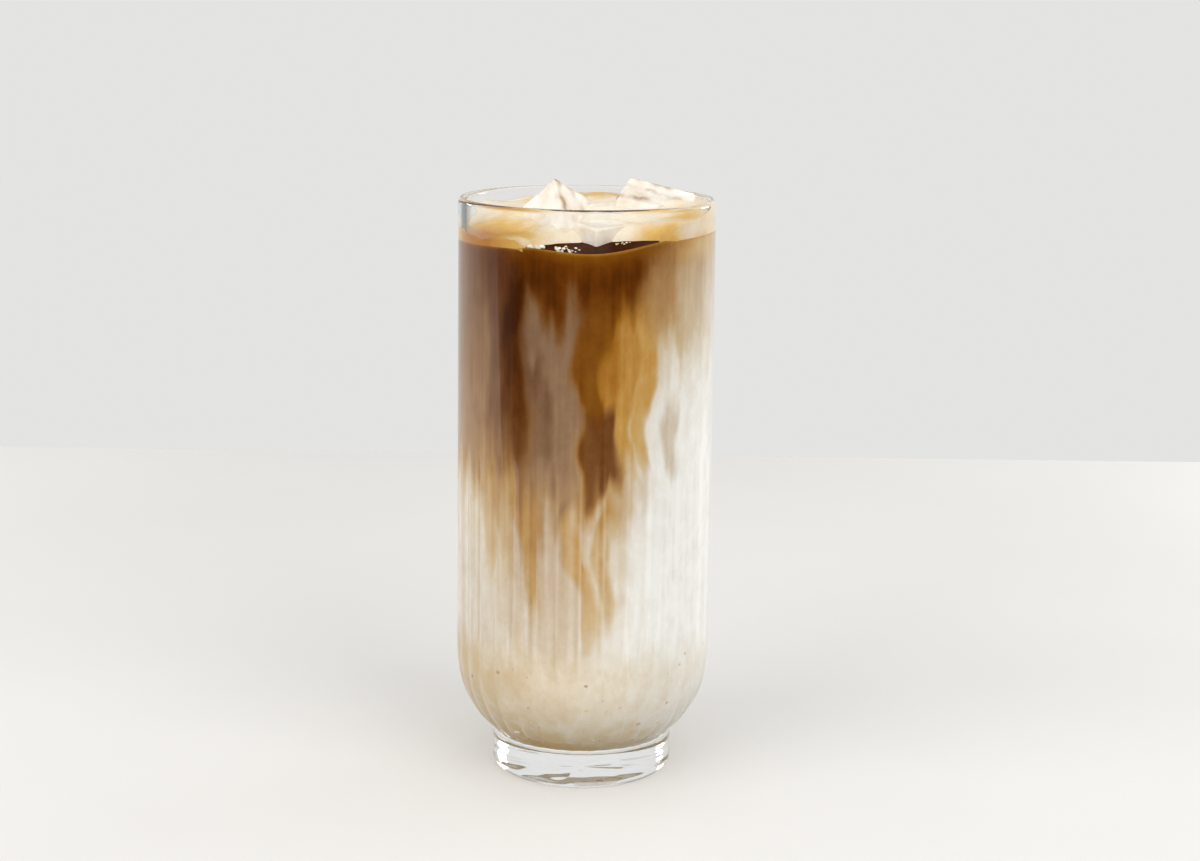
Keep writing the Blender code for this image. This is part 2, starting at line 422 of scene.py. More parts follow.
class Graph(Nodes):
    """The nodes of one material round its Principled shader."""

    def __init__(self, name: str) -> None:
        """Start a material.

        Args:
            name: The material's name.
        """
        self.material = bpy.data.materials.new(name)
        self.material.use_nodes = True
        super().__init__(self.material.node_tree)
        self.shader = self.tree.nodes["Principled BSDF"]

    def value(self, name: str, amount: float) -> None:
        """Set a constant on the shader's own socket."""
        self.shader.inputs[name].default_value = amount

    def colour(self, source: Socket) -> None:
        """Let a colour socket drive the shader's base colour."""
        self.feed(self.shader.inputs["Base Color"], source)

    def attribute(self, name: str) -> Socket:
        """The number kept under a name on the mesh."""
        made = self.node("ShaderNodeAttribute", attribute_name=name)
        return made.outputs["Fac"]

    def noise(self, scale: tuple[float, float, float], detail: float,
              roughness: float = 0.5) -> Socket:
        """Noise on Object coordinates.

        Args:
            scale: Waves per metre along each axis.
            detail: Number of finer layers.
            roughness: How strong each finer layer is.

        Returns:
            The noise, about 0 to 1.
        """
        place = self.node("ShaderNodeTexCoord")
        mapping = self.node("ShaderNodeMapping")
        mapping.inputs["Scale"].default_value = scale
        texture = self.node("ShaderNodeTexNoise")
        texture.inputs["Scale"].default_value = 1.0
        texture.inputs["Detail"].default_value = detail
        texture.inputs["Roughness"].default_value = roughness
        self.feed(mapping.inputs["Vector"], place.outputs["Object"])
        self.feed(texture.inputs["Vector"], mapping.outputs["Vector"])
        return texture.outputs["Fac"]

    def cells(self, scale: float) -> Socket:
        """Distance to the nearest of many scattered points.

        Args:
            scale: Points per metre.

        Returns:
            The distance, in shares of the points' spacing.
        """
        place = self.node("ShaderNodeTexCoord")
        texture = self.node("ShaderNodeTexVoronoi")
        texture.inputs["Scale"].default_value = scale
        self.feed(texture.inputs["Vector"], place.outputs["Object"])
        return texture.outputs["Distance"]

    def bump(self, height: Socket, strength: float, distance: float) -> None:
        """Fine relief from a height.

        Args:
            height: The height, 0 to 1.
            strength: How much of the relief shows.
            distance: Its full height in metres.
        """
        made = self.node("ShaderNodeBump")
        made.inputs["Strength"].default_value = strength
        made.inputs["Distance"].default_value = distance
        self.feed(made.inputs["Height"], height)
        self.feed(self.shader.inputs["Normal"], made.outputs["Normal"])

    def clear_to_lamps(self) -> None:
        """Let lamps shine through: shadow rays meet no glass."""
        path = self.node("ShaderNodeLightPath")
        clear = self.node("ShaderNodeBsdfTransparent")
        mix = self.node("ShaderNodeMixShader")
        out = self.tree.nodes["Material Output"]
        self.feed(mix.inputs[0], path.outputs["Is Shadow Ray"])
        self.feed(mix.inputs[1], self.shader.outputs[0])
        self.feed(mix.inputs[2], clear.outputs[0])
        self.feed(out.inputs["Surface"], mix.outputs[0])


@dataclass(frozen=True)
class ClearGlass:
    """Polished clear glass with faint ripples of pressing."""

    tint: Colour = (0.985, 0.992, 0.988)
    index: float = 1.5
    ripple: float = 0.03

    def material(self) -> bpy.types.Material:
        """The glass as nodes.

        Returns:
            The material.
        """
        graph = Graph("clear_glass")
        graph.shader.inputs["Base Color"].default_value = (*self.tint, 1.0)
        graph.value("Roughness", 0.0)
        graph.value("IOR", self.index)
        graph.value("Transmission Weight", 1.0)
        waves = graph.noise((90.0, 90.0, 26.0), 2.0)
        graph.bump(waves, self.ripple, 0.4 * MM)
        graph.clear_to_lamps()
        return graph.material


# Strengths of coffee at which the drink's tints are set
STRENGTHS = (0.0, 0.22, 0.42, 0.58, 0.74, 0.88, 1.0)


@dataclass(frozen=True)
class DrinkFinish:
    """Opaque liquid: coffee strength and warmth set the colour."""

    name: str
    streak: float = 0.07
    cloud: float = 0.22
    gloss: float = 0.30

    def material(self) -> bpy.types.Material:
        """The liquid as nodes, read from the pour's attributes.

        Two ramps from milk to coffee, one greyish and one amber, are read
        at the strength with fine streaks and clouds added, and mixed by the
        warmth.

        Returns:
            The material.
        """
        graph = Graph(self.name)
        fine = graph.noise((420.0, 420.0, 70.0), 4.0, 0.6)
        drift = graph.scaled(fine, self.streak, -0.5 * self.streak)
        cloud = graph.noise((230.0, 230.0, 150.0), 5.0, 0.65)
        curdle = graph.scaled(cloud, self.cloud, -0.5 * self.cloud)
        strength = graph.added(graph.attribute("strength"), drift)
        strength = graph.added(strength, curdle)
        plain = graph.ramp(strength, self.stops(
            Tint.PALE_TAN, Tint.TAN, Tint.BROWN, Tint.MID_BROWN,
            Tint.DEEP_BROWN))
        warm = graph.ramp(strength, self.stops(
            Tint.STRAW, Tint.GOLD, Tint.AMBER, Tint.DARK_AMBER,
            Tint.CHESTNUT))
        graph.colour(graph.mixed(graph.attribute("warmth"), plain, warm))
        graph.value("Roughness", self.gloss)
        graph.value("Specular IOR Level", 0.0)
        return graph.material

    @staticmethod
    def stops(*between: Tint) -> list[tuple[float, Colour]]:
        """Stops of a ramp from milk through tints to coffee.

        Args:
            between: Five tints from weak to strong.

        Returns:
            Strengths, each with its colour.
        """
        tints = (Tint.CREAM, *between, Tint.ESPRESSO)
        return [(strength, tint.linear())
                for strength, tint in zip(STRENGTHS, tints)]


@dataclass(frozen=True)
class FoamFinish:
    """Fine froth from cream to golden brown."""

    cell: float = 900.0

    def material(self) -> bpy.types.Material:
        """The froth as nodes, coloured by its gold attribute.

        Returns:
            The material.
        """
        graph = Graph("foam")
        fine = graph.noise((330.0, 330.0, 330.0), 5.0, 0.65)
        drift = graph.scaled(fine, 0.30, -0.15)
        gold = graph.added(graph.attribute("gold"), drift)
        graph.colour(graph.ramp(gold, [
            (0.0, Tint.FOAM_CREAM.linear()), (0.45, Tint.FOAM_STRAW.linear()),
            (1.0, Tint.FOAM_GOLD.linear())]))
        graph.value("Roughness", 0.5)
        graph.value("Specular IOR Level", 0.04)
        graph.bump(graph.cells(self.cell), 0.35, 0.25 * MM)
        return graph.material


@dataclass(frozen=True)
class IceFinish:
    """Wet ice: milky inside, with coffee caught along some edges."""

    name: str
    clear: float
    low: Colour
    high: Colour
    stain_low: Colour = (0.17, 0.08, 0.02)
    stain_high: Colour = (0.44, 0.27, 0.12)
    index: float = 1.31

    def material(self) -> bpy.types.Material:
        """The ice as nodes, stained where its attribute says.

        Returns:
            The material.
        """
        graph = Graph(self.name)
        cloud = graph.noise((170.0, 170.0, 170.0), 3.0, 0.6)
        pale = graph.ramp(cloud, [(0.35, self.low), (0.62, self.high)])
        stain = graph.ramp(
            cloud, [(0.35, self.stain_low), (0.65, self.stain_high)])
        patchy = graph.scaled(cloud, 4.0, -0.80)
        cover = graph.times(patchy, graph.attribute("stain"))
        graph.colour(graph.mixed(cover, pale, stain))
        graph.value("Roughness", 0.10)
        graph.value("IOR", self.index)
        graph.value("Transmission Weight", self.clear)
        waves = graph.noise((260.0, 260.0, 260.0), 2.0)
        graph.bump(waves, 0.35, 0.6 * MM)
        graph.clear_to_lamps()
        return graph.material


@dataclass(frozen=True)
class BubbleFinish:
    """Shiny skins of small bubbles in two tones."""

    name: str
    low: Colour
    high: Colour

    def material(self) -> bpy.types.Material:
        """The bubbles as nodes.

        Returns:
            The material.
        """
        graph = Graph(self.name)
        tone = graph.noise((600.0, 600.0, 600.0), 1.0)
        graph.colour(graph.ramp(tone, [(0.4, self.low), (0.6, self.high)]))
        graph.value("Roughness", 0.08)
        graph.value("IOR", 1.33)
        return graph.material


# The glass


@dataclass
class Tumbler:
    """The tall glass: thick foot, round bowl, straight wall, outer ribs."""

    height: float = 148.7 * MM
    rim_radius: float = 32.36 * MM
    waist_radius: float = 33.0 * MM
    waist_height: float = 35.3 * MM
    wall_at_rim: float = 2.0 * MM
    wall_at_waist: float = 2.6 * MM
    bowl_low_point: float = 3.6 * MM
    bowl_rise: float = 2.83
    bowl_round: float = 2.0
    foot_radius: float = 23.4 * MM
    foot_blend: float = 0.5 * MM
    foot_bevel: float = 1.2 * MM
    inner_bottom: float = 10.6 * MM
    inner_rise: float = 2.6
    inner_round: float = 2.2
    rib_count: int = 34
    rib_columns: int = 10
    rib_relief: float = 0.45 * MM
    rib_top: float = 89.2 * MM
    rib_fade: float = 6.0 * MM
    rib_bottom: float = 9.2 * MM
    kick: float = 0.25 * MM
    kick_edge: float = 20.2 * MM
    kick_ripple: float = 0.15 * MM
    stand: float = 0.02 * MM
    lip_inside: float = 1.4 * MM
    lip_outside: float = 1.6 * MM

    def wall_share(self, height: Array) -> Array:
        """How far up the straight wall heights are, 0 at the waist."""
        rise = self.height - self.waist_height
        return np.clip((height - self.waist_height) / rise, 0.0, 1.0)

    def straight(self, height: Array) -> Array:
        """Outer radius of the straight wall: a line from waist to rim."""
        share = self.wall_share(height)
        return self.waist_radius + (self.rim_radius - self.waist_radius) * share

    def outer_radius(self, height: Array) -> Array:
        """Radius of the outside.

        Below the waist the bowl is a superellipse, and a smooth maximum with
        the foot's radius makes the hollow corner between them.

        Args:
            height: Heights in metres.

        Returns:
            The outer radii, without ribs.
        """
        drop = np.clip((self.waist_height - height)
                       / (self.waist_height - self.bowl_low_point), 0.0, 1.0)
        left = 1.0 - drop ** self.bowl_rise
        bowl = self.waist_radius * left ** (1.0 / self.bowl_round)
        spread = np.hypot(bowl - self.foot_radius, 2.0 * self.foot_blend)
        low = (bowl + self.foot_radius + spread) / 2.0
        return np.where(height >= self.waist_height,
                        self.straight(height), low)

    def inner_radius(self, height: Array) -> Array:
        """Radius of the hollow: a superellipse under a straight wall.

        Args:
            height: Heights in metres.

        Returns:
            The inner radii.
        """
        share = self.wall_share(height)
        wall = (self.wall_at_waist
                + (self.wall_at_rim - self.wall_at_waist) * share)
        drop = np.clip((self.waist_height - height)
                       / (self.waist_height - self.inner_bottom), 0.0, 1.0)
        left = 1.0 - drop ** self.inner_rise
        return (self.straight(height) - wall) * left ** (1.0 / self.inner_round)

    def bowl_rows(self, count: int) -> Array:
        """Heights up the inner bowl, close together near the bottom.

        A power of one less the cosine of evenly spaced turns.

        Args:
            count: Number of heights.

        Returns:
            Heights in metres, from the bottom to the waist.
        """
        turn = np.linspace(0.0, math.pi / 2.0, count)
        rise = (1.0 - np.cos(turn)) ** 1.15
        return (self.inner_bottom
                + (self.waist_height - self.inner_bottom) * rise)

    def profile(self) -> tuple[Array, Array, Array]:
        """Radii and heights of the whole outline, and where it is outside.

        The outline runs from the middle of the inner bottom up the inside,
        over the half round lip, down the outside and under the foot,
        which is a little hollow.

        Returns:
            Radii, heights and a mask of the points on the outer side.
        """
        bowl = self.bowl_rows(46)
        wall = np.linspace(
            self.waist_height, self.height - self.lip_inside, 16)[1:]
        inside = np.concatenate([bowl, wall])
        mouth = float(self.inner_radius(np.array(self.height)))
        half = (self.rim_radius - mouth) / 2.0
        turn = math.pi * (1.0 - np.linspace(0.0, 1.0, 17))
        lip_radius = (self.rim_radius + mouth) / 2.0 + half * np.cos(turn)
        lip_height = self.height - half * (1.0 - np.sin(turn))
        fade_low = self.rib_top - 1.2 * self.rib_fade
        outside = np.concatenate([
            np.linspace(self.height - self.lip_outside, self.rib_top, 10),
            np.linspace(self.rib_top, fade_low, 16)[1:],
            np.linspace(fade_low, self.waist_height, 12)[1:],
            self.waist_height - (self.waist_height - self.rib_bottom)
            * np.linspace(0.0, 1.0, 50)[1:] ** 0.8,
            np.linspace(self.rib_bottom, self.foot_bevel, 10)[1:-1]])
        turn = np.linspace(0.0, math.pi / 2.0, 8)
        foot_r = self.foot_radius - self.foot_bevel * (1.0 - np.cos(turn))
        foot_z = self.stand + self.foot_bevel * (1.0 - np.sin(turn))
        under = np.concatenate([
            np.linspace(foot_r[-1], self.kick_edge, 3)[1:],
            self.kick_edge * np.linspace(1.0, 0.0, 30)[1:]])
        share = np.clip(1.0 - (under / self.kick_edge) ** 2, 0.0, 1.0)
        lift = self.stand + self.kick * share
        radius = np.concatenate([
            self.inner_radius(inside), lip_radius,
            self.outer_radius(outside), foot_r, under])
        height = np.concatenate([
            inside, lip_height, outside, foot_z, lift])
        mask = np.zeros(len(radius))
        start = len(inside) + len(lip_radius)
        mask[start:start + len(outside)] = 1.0
        return radius, height, mask

    def rib_depth(self, angle: Array, height: Array) -> Array:
        """How deep the surface lies under the ribs' crests.

        Each rib is a parabola across its width with its crest in the middle,
        so that neighbours meet in a groove. The depth fades out above and
        at the foot.

        Args:
            angle: Side angles in degrees.
            height: Heights in metres.

        Returns:
            Depths in metres.
        """
        turn = angle / 360.0 * self.rib_count
        phase = np.abs(turn - np.round(turn)) * 2.0
        upper = ease((self.rib_top - height) / self.rib_fade)
        lower = ease((height - self.rib_bottom) / self.rib_fade)
        return self.rib_relief * (1.0 - phase) ** 2 * upper * lower

    def kick_waves(self, angle: Array, radius: Array, height: Array) -> Array:
        """Waves of pressing in the hollow under the foot.

        Lattice noise fades out towards the ring that the foot stands on and
        towards the axis.

        Args:
            angle: Side angles in degrees.
            radius: Radii in metres.
            height: Heights in metres.

        Returns:
            Changes of height in metres.
        """
        angle = np.broadcast_to(angle, radius.shape)
        under = height < self.kick + 2.0 * self.stand
        span = (ease((self.kick_edge - radius) / (4.0 * MM))
                * ease(radius / (5.0 * MM)))
        waves = lattice_noise(angle, radius, 18, 6.0 * MM, 83)
        return self.kick_ripple * waves * span * under

    def build(self) -> bpy.types.Object:
        """The ribbed glass as one closed piece.

        Returns:
            The piece.
        """
        radius, height, outside = self.profile()
        columns = self.rib_count * self.rib_columns
        angle = np.arange(columns) * 360.0 / columns
        tall = np.repeat(height[:, None], columns, axis=1)
        wide = np.repeat(radius[:, None], columns, axis=1)
        depth = self.rib_depth(angle[None, :], tall)
        wide = wide - depth * outside[:, None]
        tall = tall + self.kick_waves(angle[None, :], wide, tall)
        thing = turned_surface("tumbler", wide, tall)
        thing.data.materials.append(ClearGlass().material())
        enter(thing, "clear_glass", "glass")
        return thing


# The pour: how coffee and milk have mixed


@dataclass(frozen=True)
class Sink:
    """A place where the coffee has sunk deeper into the milk."""

    angle: float
    width: float
    depth: float


@dataclass(frozen=True)
class Plume:
    """A streak down the side with its own strength and warmth.

    Attributes:
        angle: Side angles of its middle at the bottom and the top.
        width: Half widths in degrees at the bottom and the top.
        span: Lowest and highest point in millimetres.
        strength: Coffee strength at the bottom and the top, 0 for milk.
        warmth: 0 for greyish brown, 1 for amber.
        fade: Height over which its ends die away, in millimetres.
        soft: Share of its width over which its sides die away.
    """

    angle: tuple[float, float]
    width: tuple[float, float]
    span: tuple[float, float]
    strength: tuple[float, float]
    warmth: float
    fade: float = 10.0
    soft: float = 0.8


FRONT_PLUMES = (
    Plume((-10, -10), (28, 32), (46, 84), (0.16, 0.36), 0.35, 12, 0.8),
    Plume((-18, -18), (19, 21), (34, 70), (0.19, 0.32), 0.05, 12, 0.8),
    Plume((-72, -75), (18, 20), (80, 150), (0.44, 0.80), 0.35, 14),
    Plume((-51, -54), (9, 10), (84, 150), (0.46, 0.82), 0.30, 14),
    Plume((-41, -42), (7, 9), (82, 150), (0.62, 1.00), 0.40, 16),
    Plume((-29, -29), (7, 8), (72, 134), (0.52, 1.06), 0.45, 12),
    Plume((-34, -34), (5, 7), (88, 136), (0.78, 1.14), 0.50, 14, 1.0),
    Plume((-14, -13), (11, 12), (70, 127), (0.54, 0.62), 0.00, 12),
    Plume((-20, -20), (4, 5), (88, 112), (0.66, 0.78), 0.05, 8, 1.0),
    Plume((8, 10), (9, 13), (97, 134), (0.58, 0.86), 1.00, 9, 0.6),
    Plume((3, 3), (5, 6), (82, 126), (0.78, 0.78), 0.90, 10, 0.9),
    Plume((14, 16), (5, 6), (95, 121), (0.54, 0.62), 1.00, 9, 1.0),
    Plume((8, 8), (7, 10), (77, 97), (0.76, 0.86), 0.50, 7, 0.7),
    Plume((19, 21), (3, 6), (84, 126), (0.40, 0.54), 1.00, 11, 1.0),
    Plume((26, 31), (3, 6), (86, 130), (0.34, 0.46), 1.00, 12, 0.8),
    Plume((-11, -11), (43, 42), (125, 150), (0.90, 0.98), 0.85, 15, 0.55),
    Plume((42, 41), (12, 14), (117, 150), (0.36, 0.68), 0.45, 12, 0.9),
    Plume((60, 58), (10, 12), (120, 150), (0.20, 0.50), 0.35, 12, 0.9),
    Plume((78, 78), (12, 14), (121, 150), (0.12, 0.36), 0.20, 12, 0.9),
    Plume((43, 43), (4, 4), (78, 98), (0.20, 0.20), 0.00, 8, 1.0),
    Plume((-49, -46), (3, 7), (58, 90), (0.24, 0.42), 0.55, 14, 1.0),
    Plume((-36, -36), (3, 7), (58, 86), (0.28, 0.46), 0.45, 12, 1.0),
    Plume((-21, -22), (3, 6), (50, 78), (0.38, 0.54), 0.50, 11, 1.0),
    Plume((-12, -14), (3, 6), (60, 80), (0.28, 0.46), 0.05, 10, 1.0),
    Plume((3, 0), (3, 5), (44, 74), (0.30, 0.46), 0.60, 12, 1.0),
    Plume((12, 9), (3, 4), (50, 74), (0.28, 0.46), 0.55, 9, 1.0),
    Plume((-8, -9), (2, 4), (44, 68), (0.24, 0.30), 0.00, 8, 1.0),
    Plume((6, 6), (2, 3), (62, 74), (0.20, 0.28), 0.10, 8, 1.0),
)

BACK_PLUMES = (
    Plume((118, 112), (10, 15), (90, 150), (0.60, 0.78), 0.20, 12),
    Plume((140, 143), (8, 11), (84, 132), (0.54, 0.72), 1.00, 12),
    Plume((162, 158), (9, 13), (72, 128), (0.66, 0.74), 0.05, 12),
    Plume((178, 181), (6, 9), (66, 124), (0.70, 0.88), 0.60, 12),
    Plume((197, 202), (9, 12), (80, 128), (0.46, 0.62), 1.00, 12),
    Plume((224, 228), (10, 15), (88, 134), (0.66, 0.80), 0.15, 12),
    Plume((252, 250), (8, 12), (92, 140), (0.50, 0.70), 0.70, 12),
    Plume((180, 180), (74, 66), (127, 150), (0.90, 0.96), 0.45, 7, 0.4),
    Plume((150, 154), (3, 7), (50, 82), (0.34, 0.50), 0.60, 12, 1.0),
    Plume((186, 181), (3, 8), (42, 74), (0.32, 0.48), 0.60, 12, 1.0),
    Plume((208, 206), (3, 6), (60, 84), (0.30, 0.46), 0.60, 12, 1.0),
    Plume((228, 224), (3, 8), (56, 88), (0.30, 0.46), 0.60, 12, 1.0),
)


@dataclass(frozen=True)
class Veil:
    """A thin veil of coffee over one side, in degrees of the side angle."""

    middle: float = -40.0
    half: float = 52.0
    soft: float = 9.0
    strength: float = 0.17

    def cover(self, turn: Array) -> Array:
        """1 over its middle, 0 beyond its half width, with a soft edge."""
        past = np.abs(turn - self.middle) - self.half
        return 0.5 - 0.5 * np.tanh(past / self.soft)


@dataclass(frozen=True)
class BaseTones:
    """Tones of the sweet base, its heights and fades in millimetres."""

    over: float = 5.0
    fade: float = 11.0
    strength: float = 0.15
    paler_right: float = 0.09
    warmth: float = 0.50
    deep_level: float = 19.5
    deep_fade: float = 6.5
    deep_strength: float = 0.07
    deep_warmth: float = 0.4


@dataclass
class Pour:
    """The mixing of coffee into milk, as numbers on every surface point.

    The noise layers sway the side angles in degrees and lift the heights in
    millimetres. The steps give strength and warmth at millimetres above the
    boundary of milk and coffee.
    """

    glass: Tumbler
    mix_level: float = 96.7 * MM
    mix_tilt: float = 22.0 * MM
    sinks: tuple[Sink, ...] = (
        Sink(-24.0, 24.0, 30.0 * MM), Sink(9.0, 12.0, 23.0 * MM),
        Sink(-128.0, 17.0, 20.0 * MM), Sink(148.0, 20.0, 30.0 * MM),
        Sink(104.0, 14.0, 22.0 * MM))
    base_level: float = 37.7 * MM
    base_wave: float = 1.2 * MM
    sway: tuple[Layer, ...] = (
        Layer(4.0, 14, 16, 3), Layer(2.2, 40, 9, 5), Layer(1.2, 96, 5, 7))
    lift: tuple[Layer, ...] = (
        Layer(3.0, 24, 22, 11), Layer(3.4, 60, 16, 13),
        Layer(2.4, 150, 12, 17))
    strength_steps: tuple[tuple[float, float], ...] = (
        (-30, 0.02), (-10, 0.05), (0, 0.14), (8, 0.22), (16, 0.32),
        (28, 0.50), (44, 0.70))
    warmth_steps: tuple[tuple[float, float], ...] = (
        (-18, 0.05), (-4, 0.40), (6, 0.50), (20, 0.30))
    veil: Veil = Veil()
    base_tones: BaseTones = BaseTones()
    # Fine vertical streaks: the drink's own streaks all over, and more of them
    # below the ribs' top as painted light and shade of the ribs' vertical
    # columns
    streak_least: float = 0.025
    painted_rib_streaks: float = 0.03

    def boundary(self, x: Array, y: Array, wall: float) -> Array:
        """Height where milk turns to coffee.

        A level that rises to the right by the sine of the side angle, less a
        bell for each sink. Both fade towards the axis.

        Args:
            x: Places across.
            y: Places along.
            wall: The inner wall's radius.

        Returns:
            Heights in metres.
        """
        reach = np.minimum(np.hypot(x, y) / wall, 1.0)
        angle = side_angle(x, y)
        height = (self.mix_level
                  + self.mix_tilt * np.sin(np.radians(angle)) * reach)
        for sink in self.sinks:
            bell = side_bell(angle, sink.angle, sink.width)
            height = height - sink.depth * bell * reach ** 2
        return height

    def base_top(self, x: Array, y: Array) -> Array:
        """Top of the sweet base: a product of two slow waves."""
        wave = np.sin(x * 130.0 + 0.6) * np.cos(y * 110.0 - 0.4)
        return self.base_level + self.base_wave * wave

    def fields(self, points: Array) -> tuple[Array, Array]:
        """Coffee strength and warmth at points.

        The strength rises in steps above the boundary, and a thin veil of
        coffee lies over the left of the front. Then each plume is laid over
        it by its own soft mask. Angles and heights drift by lattice noise
        first, so that no edge is even.

        Args:
            points: Corners in metres, one row each.

        Returns:
            Strengths and warmths between 0 and 1.
        """
        x, y, z = points.T
        angle = side_angle(x, y)
        lift = layered_noise(angle, z, self.lift)
        turn = angle + layered_noise(angle, z, self.sway)
        tall = z / MM + lift
        edge_x = np.sin(np.radians(turn))
        edge_y = -np.cos(np.radians(turn))
        rise = tall - self.boundary(edge_x, edge_y, 1.0) / MM
        strength = np.interp(rise, *zip(*self.strength_steps))
        strength = np.maximum(
            strength, self.veil.strength * self.veil.cover(turn))
        warmth = np.interp(rise, *zip(*self.warmth_steps))
        for plume in FRONT_PLUMES + BACK_PLUMES:
            mask, own = self.plume_mask(plume, turn, tall)
            strength = strength * (1.0 - mask) + own * mask
            warmth = warmth * (1.0 - mask) + plume.warmth * mask
        strength = strength + self.rib_light(angle, z, strength)
        # Fine vertical streaks where the drink is darker: its own streaks all
        # over, and more below the ribs' top as painted light and shade of the
        # ribs' vertical columns
        fine = lattice_noise(angle, z, 260, 34 * MM, 19)
        low = ease((100 * MM - z) / (20 * MM))
        streaks = self.streak_least + self.painted_rib_streaks * low
        strength = strength + streaks * fine * ease(strength / 0.3)
        return self.lower_tones(angle, strength, warmth, z / MM + 0.5 * lift)

    def rib_light(self, angle: Array, z: Array, strength: Array) -> Array:
        """Paler lines where the ribs gather light on the drink.

        Each rib has a narrow line at its crest and one beside its groove,
        of seeded strength, stronger where the drink is darker.

        Args:
            angle: Side angles in degrees.
            z: Heights in metres.
            strength: Coffee strengths so far.

        Returns:
            Changes of the strength.
        """
        ribs = self.glass.rib_count
        turn = (angle / 360.0 * ribs) % ribs
        index = np.floor(turn).astype(int) % ribs
        phase = turn - np.floor(turn)
        draw = np.random.default_rng(43)
        crest = draw.uniform(0.3, 1.0, ribs)[index]
        side = draw.uniform(0.0, 0.8, ribs)[index]
        place = draw.uniform(0.40, 0.60, ribs)[index]
        line = (crest * np.exp(-(((phase - place) / 0.13) ** 2))
                + side * np.exp(-(((phase - 0.90) / 0.07) ** 2))
                - 0.35 * np.exp(-(((phase - 0.72) / 0.10) ** 2)))
        span = (ease((self.glass.rib_top - z) / (10 * MM))
                * ease((z - 20 * MM) / (14 * MM)))
        return -line * span * (0.20 * strength + 0.035)

    @staticmethod
    def plume_mask(plume: Plume, turn: Array,
                   tall: Array) -> tuple[Array, Array]:
        """Where a plume covers, and its strength there.

        The cover is eased across the plume's width and at its ends.

        Args:
            plume: The plume.
            turn: Side angles in degrees, with their drift.
            tall: Heights in millimetres, with their drift.

        Returns:
            The cover between 0 and 1, and the plume's strength.
        """
        low, high = plume.span
        share = np.clip((tall - low) / (high - low), 0.0, 1.0)
        middle = plume.angle[0] + (plume.angle[1] - plume.angle[0]) * share
        width = plume.width[0] + (plume.width[1] - plume.width[0]) * share
        apart = np.abs(apart_degrees(turn, middle)) / width
        across = ease((1.0 - apart) / plume.soft + 0.5)
        along = (ease((tall - low) / plume.fade + 0.5)
                 * ease((high - tall) / plume.fade + 0.5))
        bottom, top = plume.strength
        return across * along, bottom + (top - bottom) * share

    def lower_tones(self, angle: Array, strength: Array, warmth: Array,
                    tall: Array) -> tuple[Array, Array]:
        """Add the sweet base: beige below its level, tan at the bottom.

        Args:
            angle: Side angles in degrees.
            strength: Coffee strengths so far.
            warmth: Warmths so far.
            tall: Heights in millimetres, with their drift.

        Returns:
            The strengths and warmths with the base laid over.
        """
        base = self.base_level / MM
        tones = self.base_tones
        beige = ease((base + tones.over - tall) / tones.fade)
        deep = ease((tones.deep_level - tall) / tones.deep_fade)
        paler = tones.paler_right * np.sin(np.radians(angle))
        level = tones.strength - paler + tones.deep_strength * deep
        strength = strength * (1.0 - beige) + level * beige
        warm = tones.warmth + tones.deep_warmth * deep
        warmth = warmth * (1.0 - beige) + warm * beige
        return np.clip(strength, 0.0, 1.0), np.clip(warmth, 0.0, 1.0)


@dataclass(frozen=True)
class Glow:
    """A band of tone along the wall, just under the coffee's surface.

    Attributes:
        depth: Depth at which it ends, in millimetres.
        fade: Height over which it dies away, in millimetres.
        cover: How much it hides of what is under it.
        strength: Its own coffee strength.
    """

    depth: float
    fade: float
    cover: float
    strength: float


